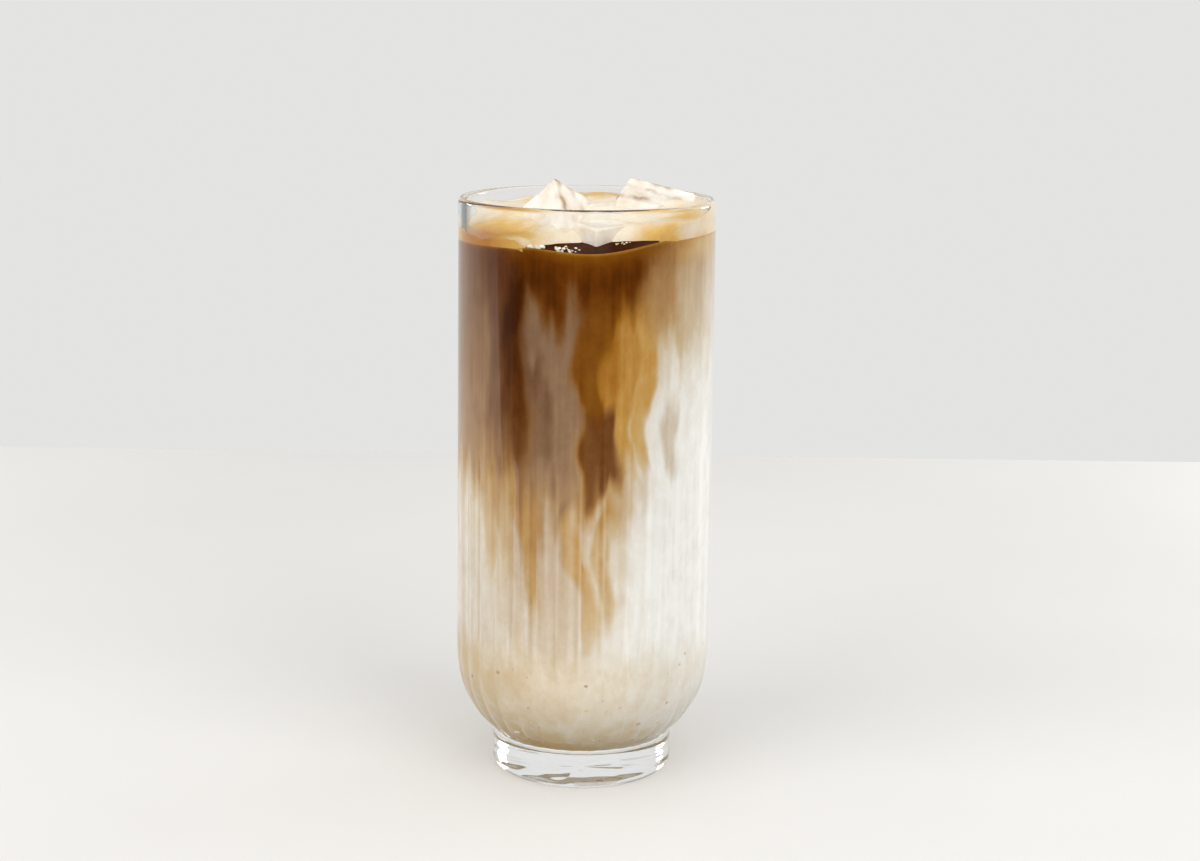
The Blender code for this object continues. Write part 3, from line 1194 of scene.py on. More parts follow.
@dataclass
class Drink:
    """The liquid in three layers that reach just into the glass wall.

    Crisp is the share of a surface at which a row beside a corner keeps it
    sharp under smooth shading. Ring crowding above 1 draws the rings of a
    surface together towards the wall.
    """

    glass: Tumbler
    pour: Pour
    reach: float = 0.2 * MM
    seam: float = 0.004 * MM
    columns: int = 540
    top_rings: int = 30
    wall_rows: int = 110
    crisp: float = 0.0005
    coffee_level: float = 139.7 * MM
    coffee_tilt: float = 1.5 * MM
    pool_depth: float = 2.2 * MM
    pool_centre: tuple[float, float] = (2.5 * MM, -28.5 * MM)
    pool_spread: tuple[float, float] = (12.0 * MM, 9.5 * MM)
    pool_edge: tuple[float, float] = (17.5 * MM, 12.5 * MM)
    pool_ragged: tuple[Layer, ...] = (
        Layer(0.09, 16, 1, 23), Layer(0.05, 44, 1, 24))
    edge_rise: float = 0.6 * MM
    ring_crowding: float = 1.5
    base_rings: int = 20
    bowl_rows: int = 60
    dark_glow: Glow = Glow(8.0, 6.5, 0.85, 0.84)
    pale_glow: Glow = Glow(8.0, 6.5, 0.80, 0.26)
    amber_glow: Glow = Glow(3.4, 3.0, 0.75, 0.74)
    bright_glow: Glow = Glow(0.75, 0.5, 1.0, 0.52)

    def wall(self) -> float:
        """Inner radius of the glass at the coffee's surface."""
        return float(self.glass.inner_radius(np.array(self.coffee_level)))

    def pool_share(self, x: Array, y: Array) -> Array:
        """How far out in the pool places are, by an uneven ellipse.

        Args:
            x: Places across.
            y: Places along.

        Returns:
            0 in the pool's middle, 1 on its edge, more outside.
        """
        across = (x - self.pool_centre[0]) / self.pool_edge[0]
        along = (y - self.pool_centre[1]) / self.pool_edge[1]
        angle = np.degrees(np.arctan2(along, across))
        ragged = layered_noise(angle, np.zeros_like(x), self.pool_ragged)
        return np.hypot(across, along) * (1.0 + ragged)

    def foam_cover(self, x: Array, y: Array) -> Array:
        """0 over the open pool, 1 where foam lies on the coffee."""
        return ease((self.pool_share(x, y) - 0.90) / 0.26)

    def coffee_top(self, x: Array, y: Array) -> Array:
        """Top of the coffee.

        It is tilted up to the right, less a bell over the dark pool, and
        drawn up the wall where the pool is open.

        Args:
            x: Places across.
            y: Places along.

        Returns:
            Heights in metres.
        """
        wall = self.wall()
        across = (x - self.pool_centre[0]) / self.pool_spread[0]
        along = (y - self.pool_centre[1]) / self.pool_spread[1]
        bell = np.exp(-across ** 2 - along ** 2)
        near = np.clip((np.hypot(x, y) - wall + 1.8 * MM) / (1.8 * MM), 0, 1)
        drawn = self.edge_rise * near ** 3 * (1.0 - self.foam_cover(x, y))
        return (self.coffee_level + self.coffee_tilt * x / wall
                - self.pool_depth * bell + drawn)

    def between(self, name: str, lower: Surface, upper: Surface,
                side_rows: int, reach: Surface | None = None,
                ) -> bpy.types.Object:
        """A layer between two surfaces, closed by the wall.

        The grid runs from the axis along the upper surface to the wall, down
        the wall, and back along the lower surface to the axis. Rows close to
        the corners keep them crisp under smooth shading.

        Args:
            name: The piece's name.
            lower: Heights of the underside.
            upper: Heights of the top.
            side_rows: Rows down the wall.
            reach: How far each place on the wall reaches into the glass.

        Returns:
            The new object.
        """
        left = 1.0 - np.linspace(0.0, 1.0, self.top_rings)
        rings = 1.0 - left ** self.ring_crowding
        rings = np.concatenate([rings[:-1], [1.0 - 2.0 * self.crisp, 1.0]])
        down = np.linspace(1.0, 0.0, side_rows + 2)[1:-1]
        down = np.concatenate([[1.0 - self.crisp], down, [self.crisp]])
        share_r = np.concatenate([rings, np.ones(len(down)), rings[::-1]])
        share_z = np.concatenate(
            [np.ones(len(rings)), down, np.zeros(len(rings))])
        turn = np.arange(self.columns) * 2.0 * math.pi / self.columns
        wall = self.wall()
        wide = np.repeat(share_r[:, None], self.columns, axis=1) * wall
        x, y = wide * np.sin(turn), -wide * np.cos(turn)
        low, high = lower(x, y), upper(x, y)
        tall = low + (high - low) * share_z[:, None]
        extra = self.reach
        if reach is not None:
            extra = reach(wall * np.sin(turn), -wall * np.cos(turn))
        outer = self.glass.inner_radius(tall) + extra
        wide = outer * share_r[:, None]
        tall[0] = tall[0].mean()
        tall[-1] = tall[-1].mean()
        return turned_surface(name, wide, tall)

    def paint(self, thing: bpy.types.Object, finish: DrinkFinish) -> None:
        """Keep the pour's numbers on a layer and give it its material.

        Args:
            thing: The layer.
            finish: Its finish.
        """
        points = corner_table(thing)
        strength, warmth = self.pour.fields(points)
        strength, warmth = self.surface_glow(points, strength, warmth)
        store(thing, "strength", strength)
        store(thing, "warmth", warmth)
        thing.data.materials.append(finish.material())

    def surface_glow(self, points: Array, strength: Array,
                     warmth: Array) -> tuple[Array, Array]:
        """Light caught in the thin edge of coffee just under its surface.

        Four bands along the wall are laid over one another, each with its
        own strength: a dark one in front and behind, a pale one at the
        right, an amber one and a thin bright line. Each fades downwards.

        Args:
            points: Corners in metres, one row each.
            strength: Coffee strengths so far.
            warmth: Warmths so far.

        Returns:
            Strengths and warmths with the bands laid over.
        """
        x, y, z = points.T
        depth = (self.coffee_top(x, y) - z) / MM
        wall = self.glass.inner_radius(z)
        near = ease((np.hypot(x, y) - wall + 1.5 * MM) / (1.5 * MM))
        angle = side_angle(x, y)
        front = side_bell(angle, 5.0, 40.0)
        both = np.maximum(front, 0.8 * side_bell(angle, 185.0, 40.0))
        right = side_bell(angle, 64.0, 22.0)
        top = (depth < 0.5) & (np.hypot(x, y) < wall - 1.2 * MM)
        strength = np.where(top, 1.0, strength)
        for glow, sides in (
                (self.dark_glow, both), (self.pale_glow, right),
                (self.amber_glow, both),
                (self.bright_glow, 0.30 + 0.60 * front)):
            above = ease((glow.depth - depth) / glow.fade)
            cover = near * above * glow.cover * sides
            strength = strength * (1.0 - cover) + glow.strength * cover
            warmth = warmth * (1.0 - cover) + cover
        return strength, warmth

    def sweet_base(self) -> bpy.types.Object:
        """The beige layer that fills the round bottom.

        Its grid runs from the axis along the waved top to the wall and
        down the bowl. Two rows under the rim follow the top's waves.

        Returns:
            The layer as one closed piece.
        """
        level = self.pour.base_level
        waist = self.glass.waist_height
        bowl = np.concatenate([
            [level - 0.03 * MM, (level + waist) / 2.0],
            self.glass.bowl_rows(self.bowl_rows)[::-1]])
        rings = np.linspace(0.0, 1.0, self.base_rings)
        rings = np.concatenate([rings[:-1], [1.0 - 2.0 * self.crisp, 1.0]])
        wall = float(self.glass.inner_radius(np.array(level))) + self.reach
        outer = self.glass.inner_radius(bowl)
        slope = np.clip(outer / wall, 0.0, 1.0)
        side = outer + self.reach * slope
        radius = np.concatenate([rings * wall, side])
        height = np.concatenate([
            np.full(len(rings), level), bowl - self.reach * (1.0 - slope)])
        wide = np.repeat(radius[:, None], self.columns, axis=1)
        tall = np.repeat(height[:, None], self.columns, axis=1)
        turn = np.arange(self.columns) * 2.0 * math.pi / self.columns
        rows = slice(0, len(rings))
        x, y = wide * np.sin(turn), -wide * np.cos(turn)
        tall[rows] = self.pour.base_top(x[rows], y[rows])
        edge = slice(len(rings), len(rings) + 2)
        bend = self.pour.base_top(x[edge], y[edge]) - level
        tall[edge] += bend * np.array([[1.0], [0.5]])
        tall[0] = tall[0].mean()
        return turned_surface("sweet_milk_base", wide, tall)

    def build(self) -> None:
        """Build and dress the three layers."""
        wall = self.wall()

        def over_base(x: Array, y: Array) -> Array:
            """The milk's underside, a hair above the base."""
            return self.pour.base_top(x, y) + self.seam

        def under_coffee(x: Array, y: Array) -> Array:
            """The milk's top, where it meets the coffee."""
            return self.pour.boundary(x, y, wall)

        def over_milk(x: Array, y: Array) -> Array:
            """The coffee's underside, a hair above the milk."""
            return self.pour.boundary(x, y, wall) + self.seam

        base = self.sweet_base()
        self.paint(base, DrinkFinish("sweet_base"))
        enter(base, "sweet_base", "sweet_base")
        milk = self.between(
            "milk_body", over_base, under_coffee, self.wall_rows)
        self.paint(milk, DrinkFinish("milk"))
        enter(milk, "milk", "milk")
        coffee = self.between(
            "coffee_body", over_milk, self.coffee_top, self.wall_rows)
        self.paint(coffee, DrinkFinish("coffee", gloss=0.12))
        enter(coffee, "coffee", "coffee")


# Foam and bubbles


@dataclass(frozen=True)
class GoldPatch:
    """A golden patch on the foam, with its sizes in millimetres."""

    centre: tuple[float, float]
    spread: tuple[float, float]
    amount: float

    def cover(self, x: Array, y: Array) -> Array:
        """How golden the patch is: its amount in the middle, by a bell.

        Args:
            x: Places across in metres.
            y: Places along in metres.

        Returns:
            Values between 0 and the patch's amount.
        """
        across = (x / MM - self.centre[0]) / self.spread[0]
        along = (y / MM - self.centre[1]) / self.spread[1]
        return self.amount * np.exp(-across ** 2 - along ** 2)


@dataclass
class Froth:
    """Golden foam on the coffee, heaped behind and open at the dark pool."""

    drink: Drink
    patches: tuple[GoldPatch, ...] = (
        GoldPatch((-25.0, -14.0), (11.0, 12.0), 0.95),
        GoldPatch((-10.5, -26.0), (4.5, 4.0), 0.95),
        GoldPatch((17.0, -22.0), (7.0, 6.0), 0.60),
        GoldPatch((24.0, -12.0), (5.0, 6.0), 0.55))
    lumps: tuple[Layer, ...] = (
        Layer(0.45, 18, 7, 29), Layer(0.30, 48, 3, 31),
        Layer(0.10, 110, 1.4, 33))
    mottle: tuple[Layer, ...] = (Layer(0.6, 16, 7, 37), Layer(0.4, 44, 3, 41))
    thickness: float = 1.7 * MM
    swell: float = 0.5 * MM
    heap_rise: float = 4.8 * MM
    heap_start: float = -21.0 * MM
    heap_length: float = 30.0 * MM
    heap_to_right: float = 0.35
    hidden: float = 0.9 * MM
    climb: float = 2.2 * MM
    climb_width: float = 1.3 * MM
    slack: float = 0.8 * MM
    side_rows: int = 12

    def top(self, x: Array, y: Array) -> Array:
        """Top of the foam.

        The coffee's level carries the foam's thickness, slow swells, lumps
        and the heap, which rises with the distance from the front. The
        lumps are lattice noise of three sizes round a middle of crossed
        sines. A thin film climbs the wall. All of it ends at the pool.

        Args:
            x: Places across.
            y: Places along.

        Returns:
            Heights in metres.
        """
        drink = self.drink
        angle = side_angle(x, y)
        radius = np.hypot(x, y)
        lumps = layered_noise(angle, radius, self.lumps)
        outer = ease((radius - 4.0 * MM) / (11.0 * MM))
        bend = 1.3 * np.sin(y * 520.0) + 0.8 * np.sin(x * 410.0 + 2.0)
        middle = 0.30 * np.sin(x * 1150.0 + bend) * np.sin(y * 980.0 - bend)
        lumps = lumps * outer + middle * (1.0 - outer)
        wave = np.sin(x * 310.0 + 1.1) * np.sin(y * 270.0 + 0.7)
        share = (y + self.heap_to_right * x - self.heap_start)
        heap = self.heap_rise * ease(share / self.heap_length)
        wall = drink.wall()
        near = np.clip(1.0 - (wall - radius) / self.climb_width, 0.0, 1.0)
        level = np.zeros_like(x)
        ragged = 0.55 + 0.45 * lattice_noise(angle, level, 60, MM, 35)
        film = ((0.25 + 0.75 * side_bell(angle, -88.0, 24.0))
                * ragged * self.climb * near ** 3)
        flat = (drink.coffee_level + drink.coffee_tilt * x / wall
                + self.thickness + self.swell * wave + lumps * MM
                + heap + film)
        cover = drink.foam_cover(x, y)
        base = drink.coffee_top(x, y)
        return base - self.hidden + (flat - base + self.hidden) * cover

    def underside(self, x: Array, y: Array) -> Array:
        """Under the foam: on the coffee, and hidden in it at the pool.

        Args:
            x: Places across.
            y: Places along.

        Returns:
            Heights in metres.
        """
        cover = self.drink.foam_cover(x, y)
        sunk = 2.0 * self.hidden * (1.0 - cover)
        return self.drink.coffee_top(x, y) + self.drink.seam - sunk

    def hold_back(self, x: Array, y: Array) -> Array:
        """Reach into the glass under foam, and away from it at the pool."""
        held = ease(self.drink.foam_cover(x, y) * 3.0)
        return (self.drink.reach + self.slack) * held - self.slack

    def gold(self, points: Array) -> Array:
        """How golden the foam is: in patches, mostly near the wall.

        The strongest patch counts, less some of it up the foam's side, and
        lattice noise makes it mottled.

        Args:
            points: Corners in metres, one row each.

        Returns:
            Values between 0 for cream and 1 for golden brown.
        """
        x, y, z = points.T
        angle = side_angle(x, y)
        radius = np.hypot(x, y)
        mottle = layered_noise(angle, radius, self.mottle)
        rise = (z - self.drink.coffee_level) / MM
        inside = self.drink.wall() - radius
        side = ease((0.4 * MM - inside) / (0.3 * MM))
        rim = ease((radius / self.drink.wall() - 0.55) / 0.35)
        patches = np.maximum.reduce([
            *[patch.cover(x, y) for patch in self.patches],
            0.95 * side * side_bell(angle, -58.0, 30.0),
            0.35 * rim * side_bell(angle, 165.0, 50.0)])
        fall = side * patches * ease((rise - 0.4) / 3.0)
        gold = patches - 0.45 * fall + 0.30 * mottle * (0.3 + patches)
        return np.clip(gold + 0.06, 0.0, 1.0)

    def build(self) -> bpy.types.Object:
        """The foam as one closed piece.

        Returns:
            The piece.
        """
        thing = self.drink.between(
            "froth", self.underside, self.top, self.side_rows, self.hold_back)
        store(thing, "gold", self.gold(corner_table(thing)))
        thing.data.materials.append(FoamFinish().material())
        enter(thing, "foam", "foam")
        return thing


@dataclass
class Bubbles:
    """Joined small bubbles, all of one round form."""

    name: str
    centres: Array
    radii: Array
    finish: BubbleFinish
    flatten: float = 0.75
    rings: int = 7
    sides: int = 14

    def ball(self) -> tuple[Array, Array, Array]:
        """A ball of radius 1: poles and rings of a coarse round grid.

        Returns:
            Its corners, its four-sided faces and its triangles.
        """
        lean = np.linspace(0.0, math.pi, self.rings + 2)[1:-1]
        turn = np.arange(self.sides) * 2.0 * math.pi / self.sides
        x = np.sin(lean)[:, None] * np.cos(turn)
        y = np.sin(lean)[:, None] * np.sin(turn)
        z = np.repeat(np.cos(lean)[:, None], self.sides, axis=1)
        body = np.stack([x, y, z], axis=-1).reshape(-1, 3)
        points = np.vstack([body, [[0, 0, 1], [0, 0, -1]]])
        return points, *capped_faces(self.rings, self.sides)

    def build(self, slot: str) -> bpy.types.Object:
        """All the bubbles as one piece.

        Args:
            slot: The record's material slot.

        Returns:
            The piece.
        """
        points, quads, fans = self.ball()
        count = len(self.centres)
        squash = np.array([1.0, 1.0, self.flatten])
        every = (points * squash)[None] * self.radii[:, None, None]
        every = every + self.centres[:, None, :]
        shift = (np.arange(count) * len(points))[:, None, None]
        thing = add_mesh(
            self.name, every.reshape(-1, 3),
            [(quads[None] + shift).reshape(-1, 4),
             (fans[None] + shift).reshape(-1, 3)])
        thing.data.materials.append(self.finish.material())
        enter(thing, slot)
        return thing


@dataclass(frozen=True)
class Cluster:
    """Bubbles gathered in one place of the pool, in millimetres.

    Attributes:
        count: How many there are.
        across: Middle and spread across, or both ends if they lie evenly.
        along: Middle and spread along.
        radii: Smallest and largest radius.
        even: Whether they lie evenly across.
    """

    count: int
    across: tuple[float, float]
    along: tuple[float, float]
    radii: tuple[float, float]
    even: bool = False


CLUSTERS = (
    Cluster(22, (-5.0, 1.9), (-23.6, 1.3), (0.22, 0.50)),
    Cluster(12, (-11.5, 1.3), (-23.8, 1.0), (0.30, 0.85)),
    Cluster(9, (3.0, 12.0), (-19.5, 0.8), (0.15, 0.32), True),
)


def pool_bubbles(drink: Drink) -> Bubbles:
    """Pale bubbles along the foam's edge in the dark pool.

    Args:
        drink: The drink whose surface carries them.

    Returns:
        The bubbles.
    """
    draw = np.random.default_rng(53)
    x = np.concatenate([
        (draw.uniform if group.even else draw.normal)(
            *group.across, group.count) for group in CLUSTERS]) * MM
    y = np.concatenate([
        draw.normal(*group.along, group.count) for group in CLUSTERS]) * MM
    radii = np.concatenate([
        draw.uniform(*group.radii, group.count) for group in CLUSTERS]) * MM
    z = drink.coffee_top(x, y) + 0.25 * radii
    finish = BubbleFinish(
        "pool_bubble", (0.74, 0.62, 0.42), (0.97, 0.93, 0.86))
    return Bubbles(
        "pool_bubbles", np.stack([x, y, z], axis=-1), radii, finish)


def base_bubbles(drink: Drink) -> Bubbles:
    """Small bubbles that cling to the wall of the round bottom.

    Args:
        drink: The drink and the glass that they cling to.

    Returns:
        The bubbles.
    """
    draw = np.random.default_rng(59)
    count, lowest, spread = 80, 15.0, 20.0
    angle = np.radians(draw.uniform(-180.0, 180.0, count))
    z = (lowest + spread * draw.uniform(0.0, 1.0, count) ** 1.3) * MM
    radii = draw.uniform(0.30, 0.62, count) * MM
    radius = drink.glass.inner_radius(z) + drink.reach - 0.55 * radii
    centres = np.stack(
        [radius * np.sin(angle), -radius * np.cos(angle), z], axis=-1)
    finish = BubbleFinish(
        "base_bubble", (0.44, 0.33, 0.20), (0.74, 0.61, 0.44))
    return Bubbles("base_bubbles", centres, radii, finish, 1.0)


# Ice


@dataclass(frozen=True)
class Stain:
    """Coffee caught along a line on a block, in shares from -1 to 1."""

    start: tuple[float, float, float]
    end: tuple[float, float, float]
    width: float = 1.0 * MM
    amount: float = 0.9

    def cover(self, block: Array, half: Array) -> Array:
        """How much the stain covers points of the block.

        It fades with the distance from the line as a bell, and waves along
        the line make it wander and thin out.

        Args:
            block: Points on the unit cube.
            half: Half sizes of the block in metres.

        Returns:
            Values between 0 and the stain's amount.
        """
        start = np.array(self.start) * half
        along = np.array(self.end) * half - start
        point = block * half - start
        share = np.clip(point @ along / (along @ along), 0.0, 1.0)
        wander = 0.42 * MM * np.sin(9.0 * share + 700.0 * point[..., 0])
        line = share[..., None] * along + wander[..., None]
        apart = np.linalg.norm(point - line, axis=-1)
        thin = 0.62 + 0.38 * np.sin(7.0 * share + 2.0 * self.amount)
        return self.amount * thin * np.exp(-((apart / self.width) ** 2))


@dataclass
class IceChunk:
    """A melting block of ice with rounded corners and hollowed faces."""

    name: str
    node: str
    centre: tuple[float, float, float]
    size: tuple[float, float, float]
    turn: tuple[float, float, float]
    narrow: float
    seed: int
    finish: IceFinish
    stains: tuple[Stain, ...] = ()
    rounding: float = 1.0 * MM
    wear: float = 0.26 * MM
    ripple_pitch: float = 5.0 * MM
    weld: float = 0.001 * MM
    steps: int = 44

    def unit_block(self) -> Array:
        """Six grids of points on a cube from -1 to 1, close at its edges.

        Returns:
            An array of faces, rows, columns and the three parts of a point.
        """
        line = np.sin(np.linspace(-0.5, 0.5, self.steps + 1) * math.pi)
        u, v = np.meshgrid(line, line, indexing="ij")
        one = np.ones_like(u)
        faces = [(one, u, v), (-one, v, u), (v, one, u),
                 (u, -one, v), (u, v, one), (v, u, -one)]
        return np.stack([np.stack(face, axis=-1) for face in faces])

    def shape(self, block: Array) -> Array:
        """Turn the unit cube into worn ice.

        A point is held back by the rounding, pushed out again along its
        direction from there, so that edges become round, then narrowed
        towards one end and dented by smooth waves.

        Args:
            block: Points on the unit cube.

        Returns:
            Points in metres, in place.
        """
        half = np.array(self.size) / 2.0
        point = block * half
        core = np.clip(point, -(half - self.rounding), half - self.rounding)
        away = point - core
        length = np.linalg.norm(away, axis=-1, keepdims=True)
        out = away / np.maximum(length, 1e-12)
        point = core + out * self.rounding
        along = point / (2.0 * half)
        point[..., 1] *= 1.0 - self.narrow * (along[..., 0] + 0.5)
        point[..., 2] *= 1.0 - self.narrow * (0.5 - along[..., 1])
        phase = np.random.default_rng(self.seed).uniform(0.0, 6.28, 6)
        a, b, c = (point / self.ripple_pitch).transpose(3, 0, 1, 2)
        wave = (np.sin(a + phase[0]) * np.sin(b * 1.3 + phase[1])
                + np.sin(b + phase[2]) * np.sin(c * 1.1 + phase[3])
                + np.sin(c + phase[4]) * np.sin(a * 1.2 + phase[5]))
        hollow = np.prod(1.0 - np.sort(np.abs(block), axis=-1)[..., :2] ** 2,
                         axis=-1)
        push = -self.wear * (0.5 * wave + 1.5 * hollow)
        point = point + out * push[..., None]
        spin = np.array(Euler([math.radians(t) for t in self.turn])
                        .to_matrix())
        return point @ spin.T + np.array(self.centre)

    def build(self) -> bpy.types.Object:
        """The chunk as one closed piece that stands for its node.

        Returns:
            The piece.
        """
        block = self.unit_block()
        points = self.shape(block).reshape(-1, 3)
        side = self.steps + 1
        index = np.arange(6 * side * side).reshape(6, side, side)
        quads = np.stack([
            index[:, :-1, :-1], index[:, 1:, :-1],
            index[:, 1:, 1:], index[:, :-1, 1:]], axis=-1)
        half = np.array(self.size) / 2.0
        cover = np.zeros(block.shape[:-1])
        for stain in self.stains:
            cover = np.maximum(cover, stain.cover(block, half))
        thing = add_mesh(self.name, points, [quads.reshape(-1, 4)])
        store(thing, "stain", cover.ravel())
        work = bmesh.new()
        work.from_mesh(thing.data)
        bmesh.ops.remove_doubles(work, verts=work.verts, dist=self.weld)
        bmesh.ops.recalc_face_normals(work, faces=work.faces)
        work.to_mesh(thing.data)
        work.free()
        thing.data.materials.append(self.finish.material())
        enter(thing, "ice", self.node)
        return thing


def ice_pieces() -> list[IceChunk]:
    """The three pieces of ice that show above the drink.

    Returns:
        The left, the right and the front piece.
    """
    frosted = IceFinish(
        "frosted_ice", 0.52, (0.78, 0.71, 0.62), (0.96, 0.96, 0.95))
    coated = IceFinish(
        "coated_ice", 0.15, (0.78, 0.68, 0.54), (0.92, 0.88, 0.80))
    return [
        IceChunk("ice_chunk_left", "ice_left",
                 (-7.2 * MM, 0.7 * MM, 138.3 * MM),
                 (17.6 * MM, 17 * MM, 20 * MM), (42.0, 27.4, 37.5), 0.10, 61,
                 frosted,
                 (Stain((-0.9, 1, 1), (-0.8, -0.2, 1), 1.2 * MM, 0.95),
                  Stain((-1, 1, 1), (0.4, 1, 1), 0.8 * MM, 0.80),
                  Stain((-0.4, 0.9, 1), (0.1, 0.2, 1), 1.1 * MM, 0.45))),
        IceChunk("ice_chunk_right", "ice_right",
                 (16.2 * MM, 6.0 * MM, 139.3 * MM),
                 (18 * MM, 11.5 * MM, 23 * MM), (18.0, 12.0, -14.0), 0.12, 67,
                 frosted,
                 (Stain((-1, 1, 1), (0.2, 1, 1), 1.3 * MM, 0.90),
                  Stain((-1, -0.9, 1), (-0.3, -0.6, 1), 1.2 * MM, 0.95),
                  Stain((-0.3, 0.3, 1), (0.6, 0.1, 1), 0.9 * MM, 0.45),
                  Stain((0.4, -1, 1), (1, -0.7, 1), 1.0 * MM, 0.75))),
        IceChunk("ice_chunk_front", "ice_front",
                 (4.1 * MM, -13.6 * MM, 139.0 * MM),
                 (11.8 * MM, 8.8 * MM, 10 * MM), (3.0, -3.0, 40.0), 0.06, 71,
                 coated),
    ]


# Studio


@dataclass(frozen=True)
class Lamp:
    """A soft square lamp that faces the drink.

    Attributes:
        name: Its name.
        place: Where it stands, in metres.
        size: Side of its square, in metres.
        power: Its power in watts.
        mirrored: Whether the glass mirrors it and shows it behind itself.
    """

    name: str
    place: tuple[float, float, float]
    size: float
    power: float
    mirrored: bool
    tint: Colour = (1.0, 0.99, 0.985)
    aim: tuple[float, float, float] = (0.0, 0.0, 0.09)

    def build(self) -> None:
        """Set the lamp up in the scene."""
        data = bpy.data.lights.new(self.name, "AREA")
        data.shape = "SQUARE"
        data.size = self.size
        data.energy = self.power
        data.color = self.tint
        lamp = bpy.data.objects.new(self.name, data)
        bpy.context.scene.collection.objects.link(lamp)
        lamp.location = self.place
        toward = Vector(self.aim) - Vector(self.place)
        lamp.rotation_euler = toward.to_track_quat("-Z", "Y").to_euler()
        lamp.visible_glossy = self.mirrored
        lamp.visible_transmission = self.mirrored


Greys = tuple[tuple[float, float], ...]


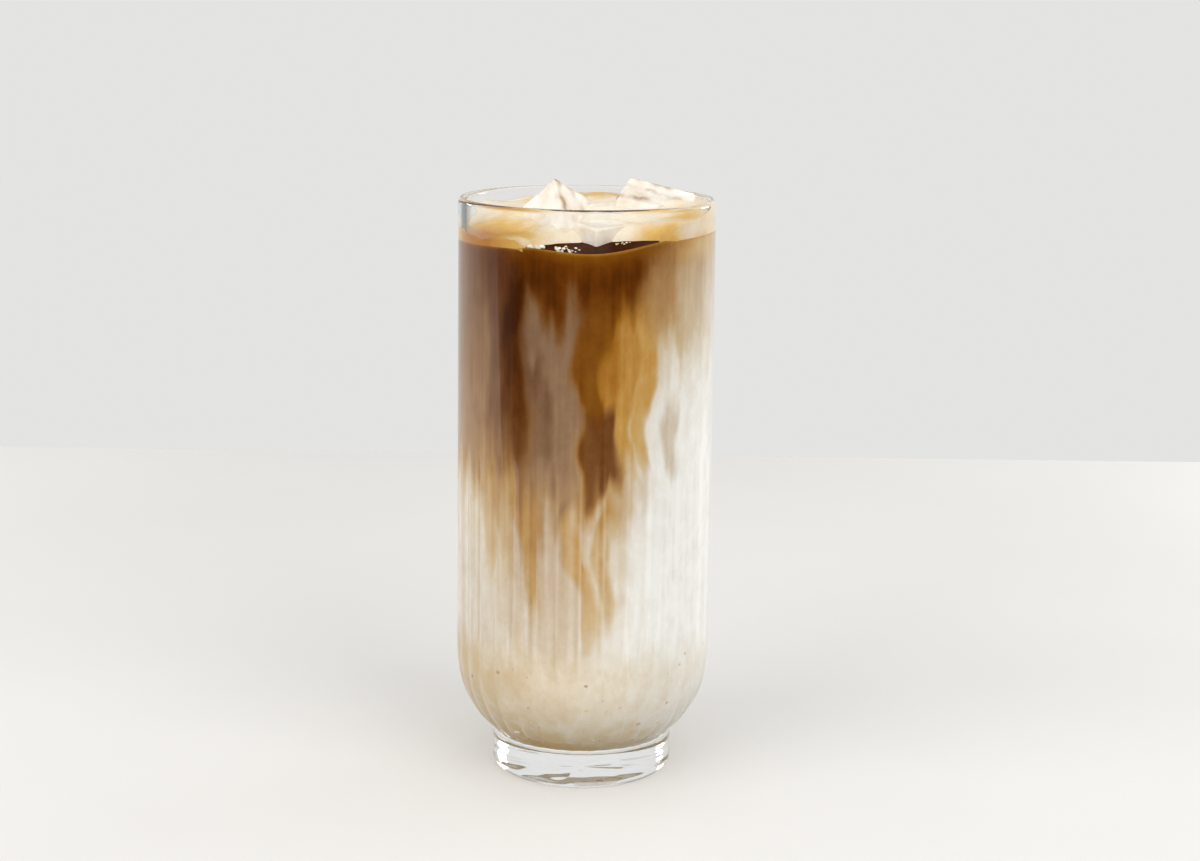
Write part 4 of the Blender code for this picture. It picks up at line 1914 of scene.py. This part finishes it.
@dataclass
class Studio:
    """Pale floor, soft light and the camera at the photo's angle."""

    floor_near: float = -0.11
    floor_far: float = 0.355
    floor_side: float = 1.60
    backdrop: Colour = (0.775, 0.775, 0.760)
    mirrored: Greys = (
        (0.05, 0.03), (0.25, 0.03), (0.42, 0.30), (0.60, 0.80))
    seen_through: Greys = (
        (0.05, 0.42), (0.30, 0.42), (0.45, 0.60), (0.58, 0.77))
    side_screens: Greys = (
        (0.10, 0.90), (0.16, 0.30), (0.29, 0.22), (0.36, 1.00),
        (0.64, 1.00), (0.71, 0.22), (0.84, 0.30), (0.90, 0.90))
    above: Greys = ((0.50, 0.0), (0.66, 0.78))
    lamps: tuple[Lamp, ...] = (
        Lamp("key", (0.64, -0.68, 0.42), 0.80, 6.8, False),
        Lamp("fill", (-0.72, -0.58, 0.32), 0.80, 7.4, False),
        Lamp("rear right", (0.46, 0.34, 0.20), 0.16, 0.45, True),
        Lamp("rear left", (-0.46, 0.34, 0.20), 0.10, 0.20, True))
    camera_place: tuple[float, float, float] = (3.9 * MM, -0.5027, 0.1992)
    camera_pitch: float = 12.393
    camera_roll: float = 0.75
    focal_pixels: float = 2000.3
    image_width: float = 1200.0
    sensor_width: float = 36.0

    def floor(self) -> None:
        """A wide pale floor with its far edge behind the glass."""
        near, far, side = self.floor_near, self.floor_far, self.floor_side
        points = np.array([
            (-side, near, 0.0), (side, near, 0.0),
            (side, far, 0.0), (-side, far, 0.0)])
        top = add_mesh("floor", points, [np.array([[0, 1, 2, 3]])], False)
        graph = Graph("floor")
        tone = graph.noise((6.0, 6.0, 6.0), 3.0)
        graph.colour(graph.ramp(tone, [
            (0.3, (0.708, 0.698, 0.684)), (0.7, (0.738, 0.728, 0.714))]))
        graph.value("Roughness", 0.7)
        graph.value("Specular IOR Level", 0.2)
        top.data.materials.append(graph.material)

    def world(self) -> None:
        """Pale surroundings, with a darker room on the camera's side.

        What glass mirrors and what is seen through it are read along the
        direction from the camera's side to the back. Two dark screens stand
        at the sides of what is seen through it, and it is light above.
        """
        world = bpy.data.worlds.new("studio")
        bpy.context.scene.world = world
        world.use_nodes = True
        nodes = Nodes(world.node_tree)
        path = nodes.node("ShaderNodeLightPath")
        place = nodes.node("ShaderNodeTexCoord")
        split = nodes.node("ShaderNodeSeparateXYZ")
        nodes.feed(split.inputs[0], place.outputs["Generated"])
        plain = nodes.node("ShaderNodeRGB")
        plain.outputs[0].default_value = (*self.backdrop, 1.0)
        above = self.greys(nodes, split.outputs["Z"], self.above)
        along = self.greys(nodes, split.outputs["Y"], self.seen_through)
        across = self.greys(nodes, split.outputs["X"], self.side_screens)
        through = nodes.mixed(1.0, along, across, "MULTIPLY")
        through = nodes.mixed(1.0, through, above, "LIGHTEN")
        mirrored = self.greys(nodes, split.outputs["Y"], self.mirrored)
        mirrored = nodes.mixed(1.0, mirrored, above, "LIGHTEN")
        colour = plain.outputs[0]
        for kind, seen in (("Is Glossy Ray", mirrored),
                           ("Is Transmission Ray", through)):
            colour = nodes.mixed(path.outputs[kind], colour, seen)
        back = world.node_tree.nodes["Background"]
        nodes.feed(back.inputs["Color"], colour)
        nodes.feed(back.inputs["Strength"], 1.0)

    @staticmethod
    def greys(nodes: Nodes, direction: Socket, stops: Greys) -> Socket:
        """Greys read along one part of a direction, from -1 to 1.

        Args:
            nodes: The world's nodes.
            direction: One part of the view direction.
            stops: Places between 0 and 1, each with its grey.

        Returns:
            The grey as a colour socket.
        """
        share = nodes.scaled(direction, 0.5, 0.5)
        return nodes.ramp(
            share, [(place, (grey, grey, grey)) for place, grey in stops])

    def camera(self) -> None:
        """The camera where the photo was taken from."""
        data = bpy.data.cameras.new("camera")
        data.sensor_fit = "HORIZONTAL"
        data.sensor_width = self.sensor_width
        data.lens = self.sensor_width * self.focal_pixels / self.image_width
        data.clip_start = 0.01
        camera = bpy.data.objects.new("camera", data)
        bpy.context.scene.collection.objects.link(camera)
        tilt = math.radians(90.0 - self.camera_pitch)
        turn = (Matrix.Rotation(tilt, 4, "X")
                @ Matrix.Rotation(math.radians(self.camera_roll), 4, "Z"))
        camera.matrix_world = Matrix.Translation(self.camera_place) @ turn
        bpy.context.scene.camera = camera

    def build(self) -> None:
        """Set up floor, surroundings, lamps and camera."""
        self.floor()
        self.world()
        for lamp in self.lamps:
            lamp.build()
        self.camera()


def main() -> None:
    """Build every sub-assembly in order."""
    logging.basicConfig(level=logging.INFO, format="%(name)s %(message)s")
    bpy.context.scene.view_settings.view_transform = "Standard"
    Studio().build()
    glass = Tumbler()
    glass.build()
    drink = Drink(glass, Pour(glass))
    drink.build()
    Froth(drink).build()
    pool_bubbles(drink).build("foam")
    base_bubbles(drink).build("sweet_base")
    for chunk in ice_pieces():
        chunk.build()


if __name__ == "__main__":
    main()
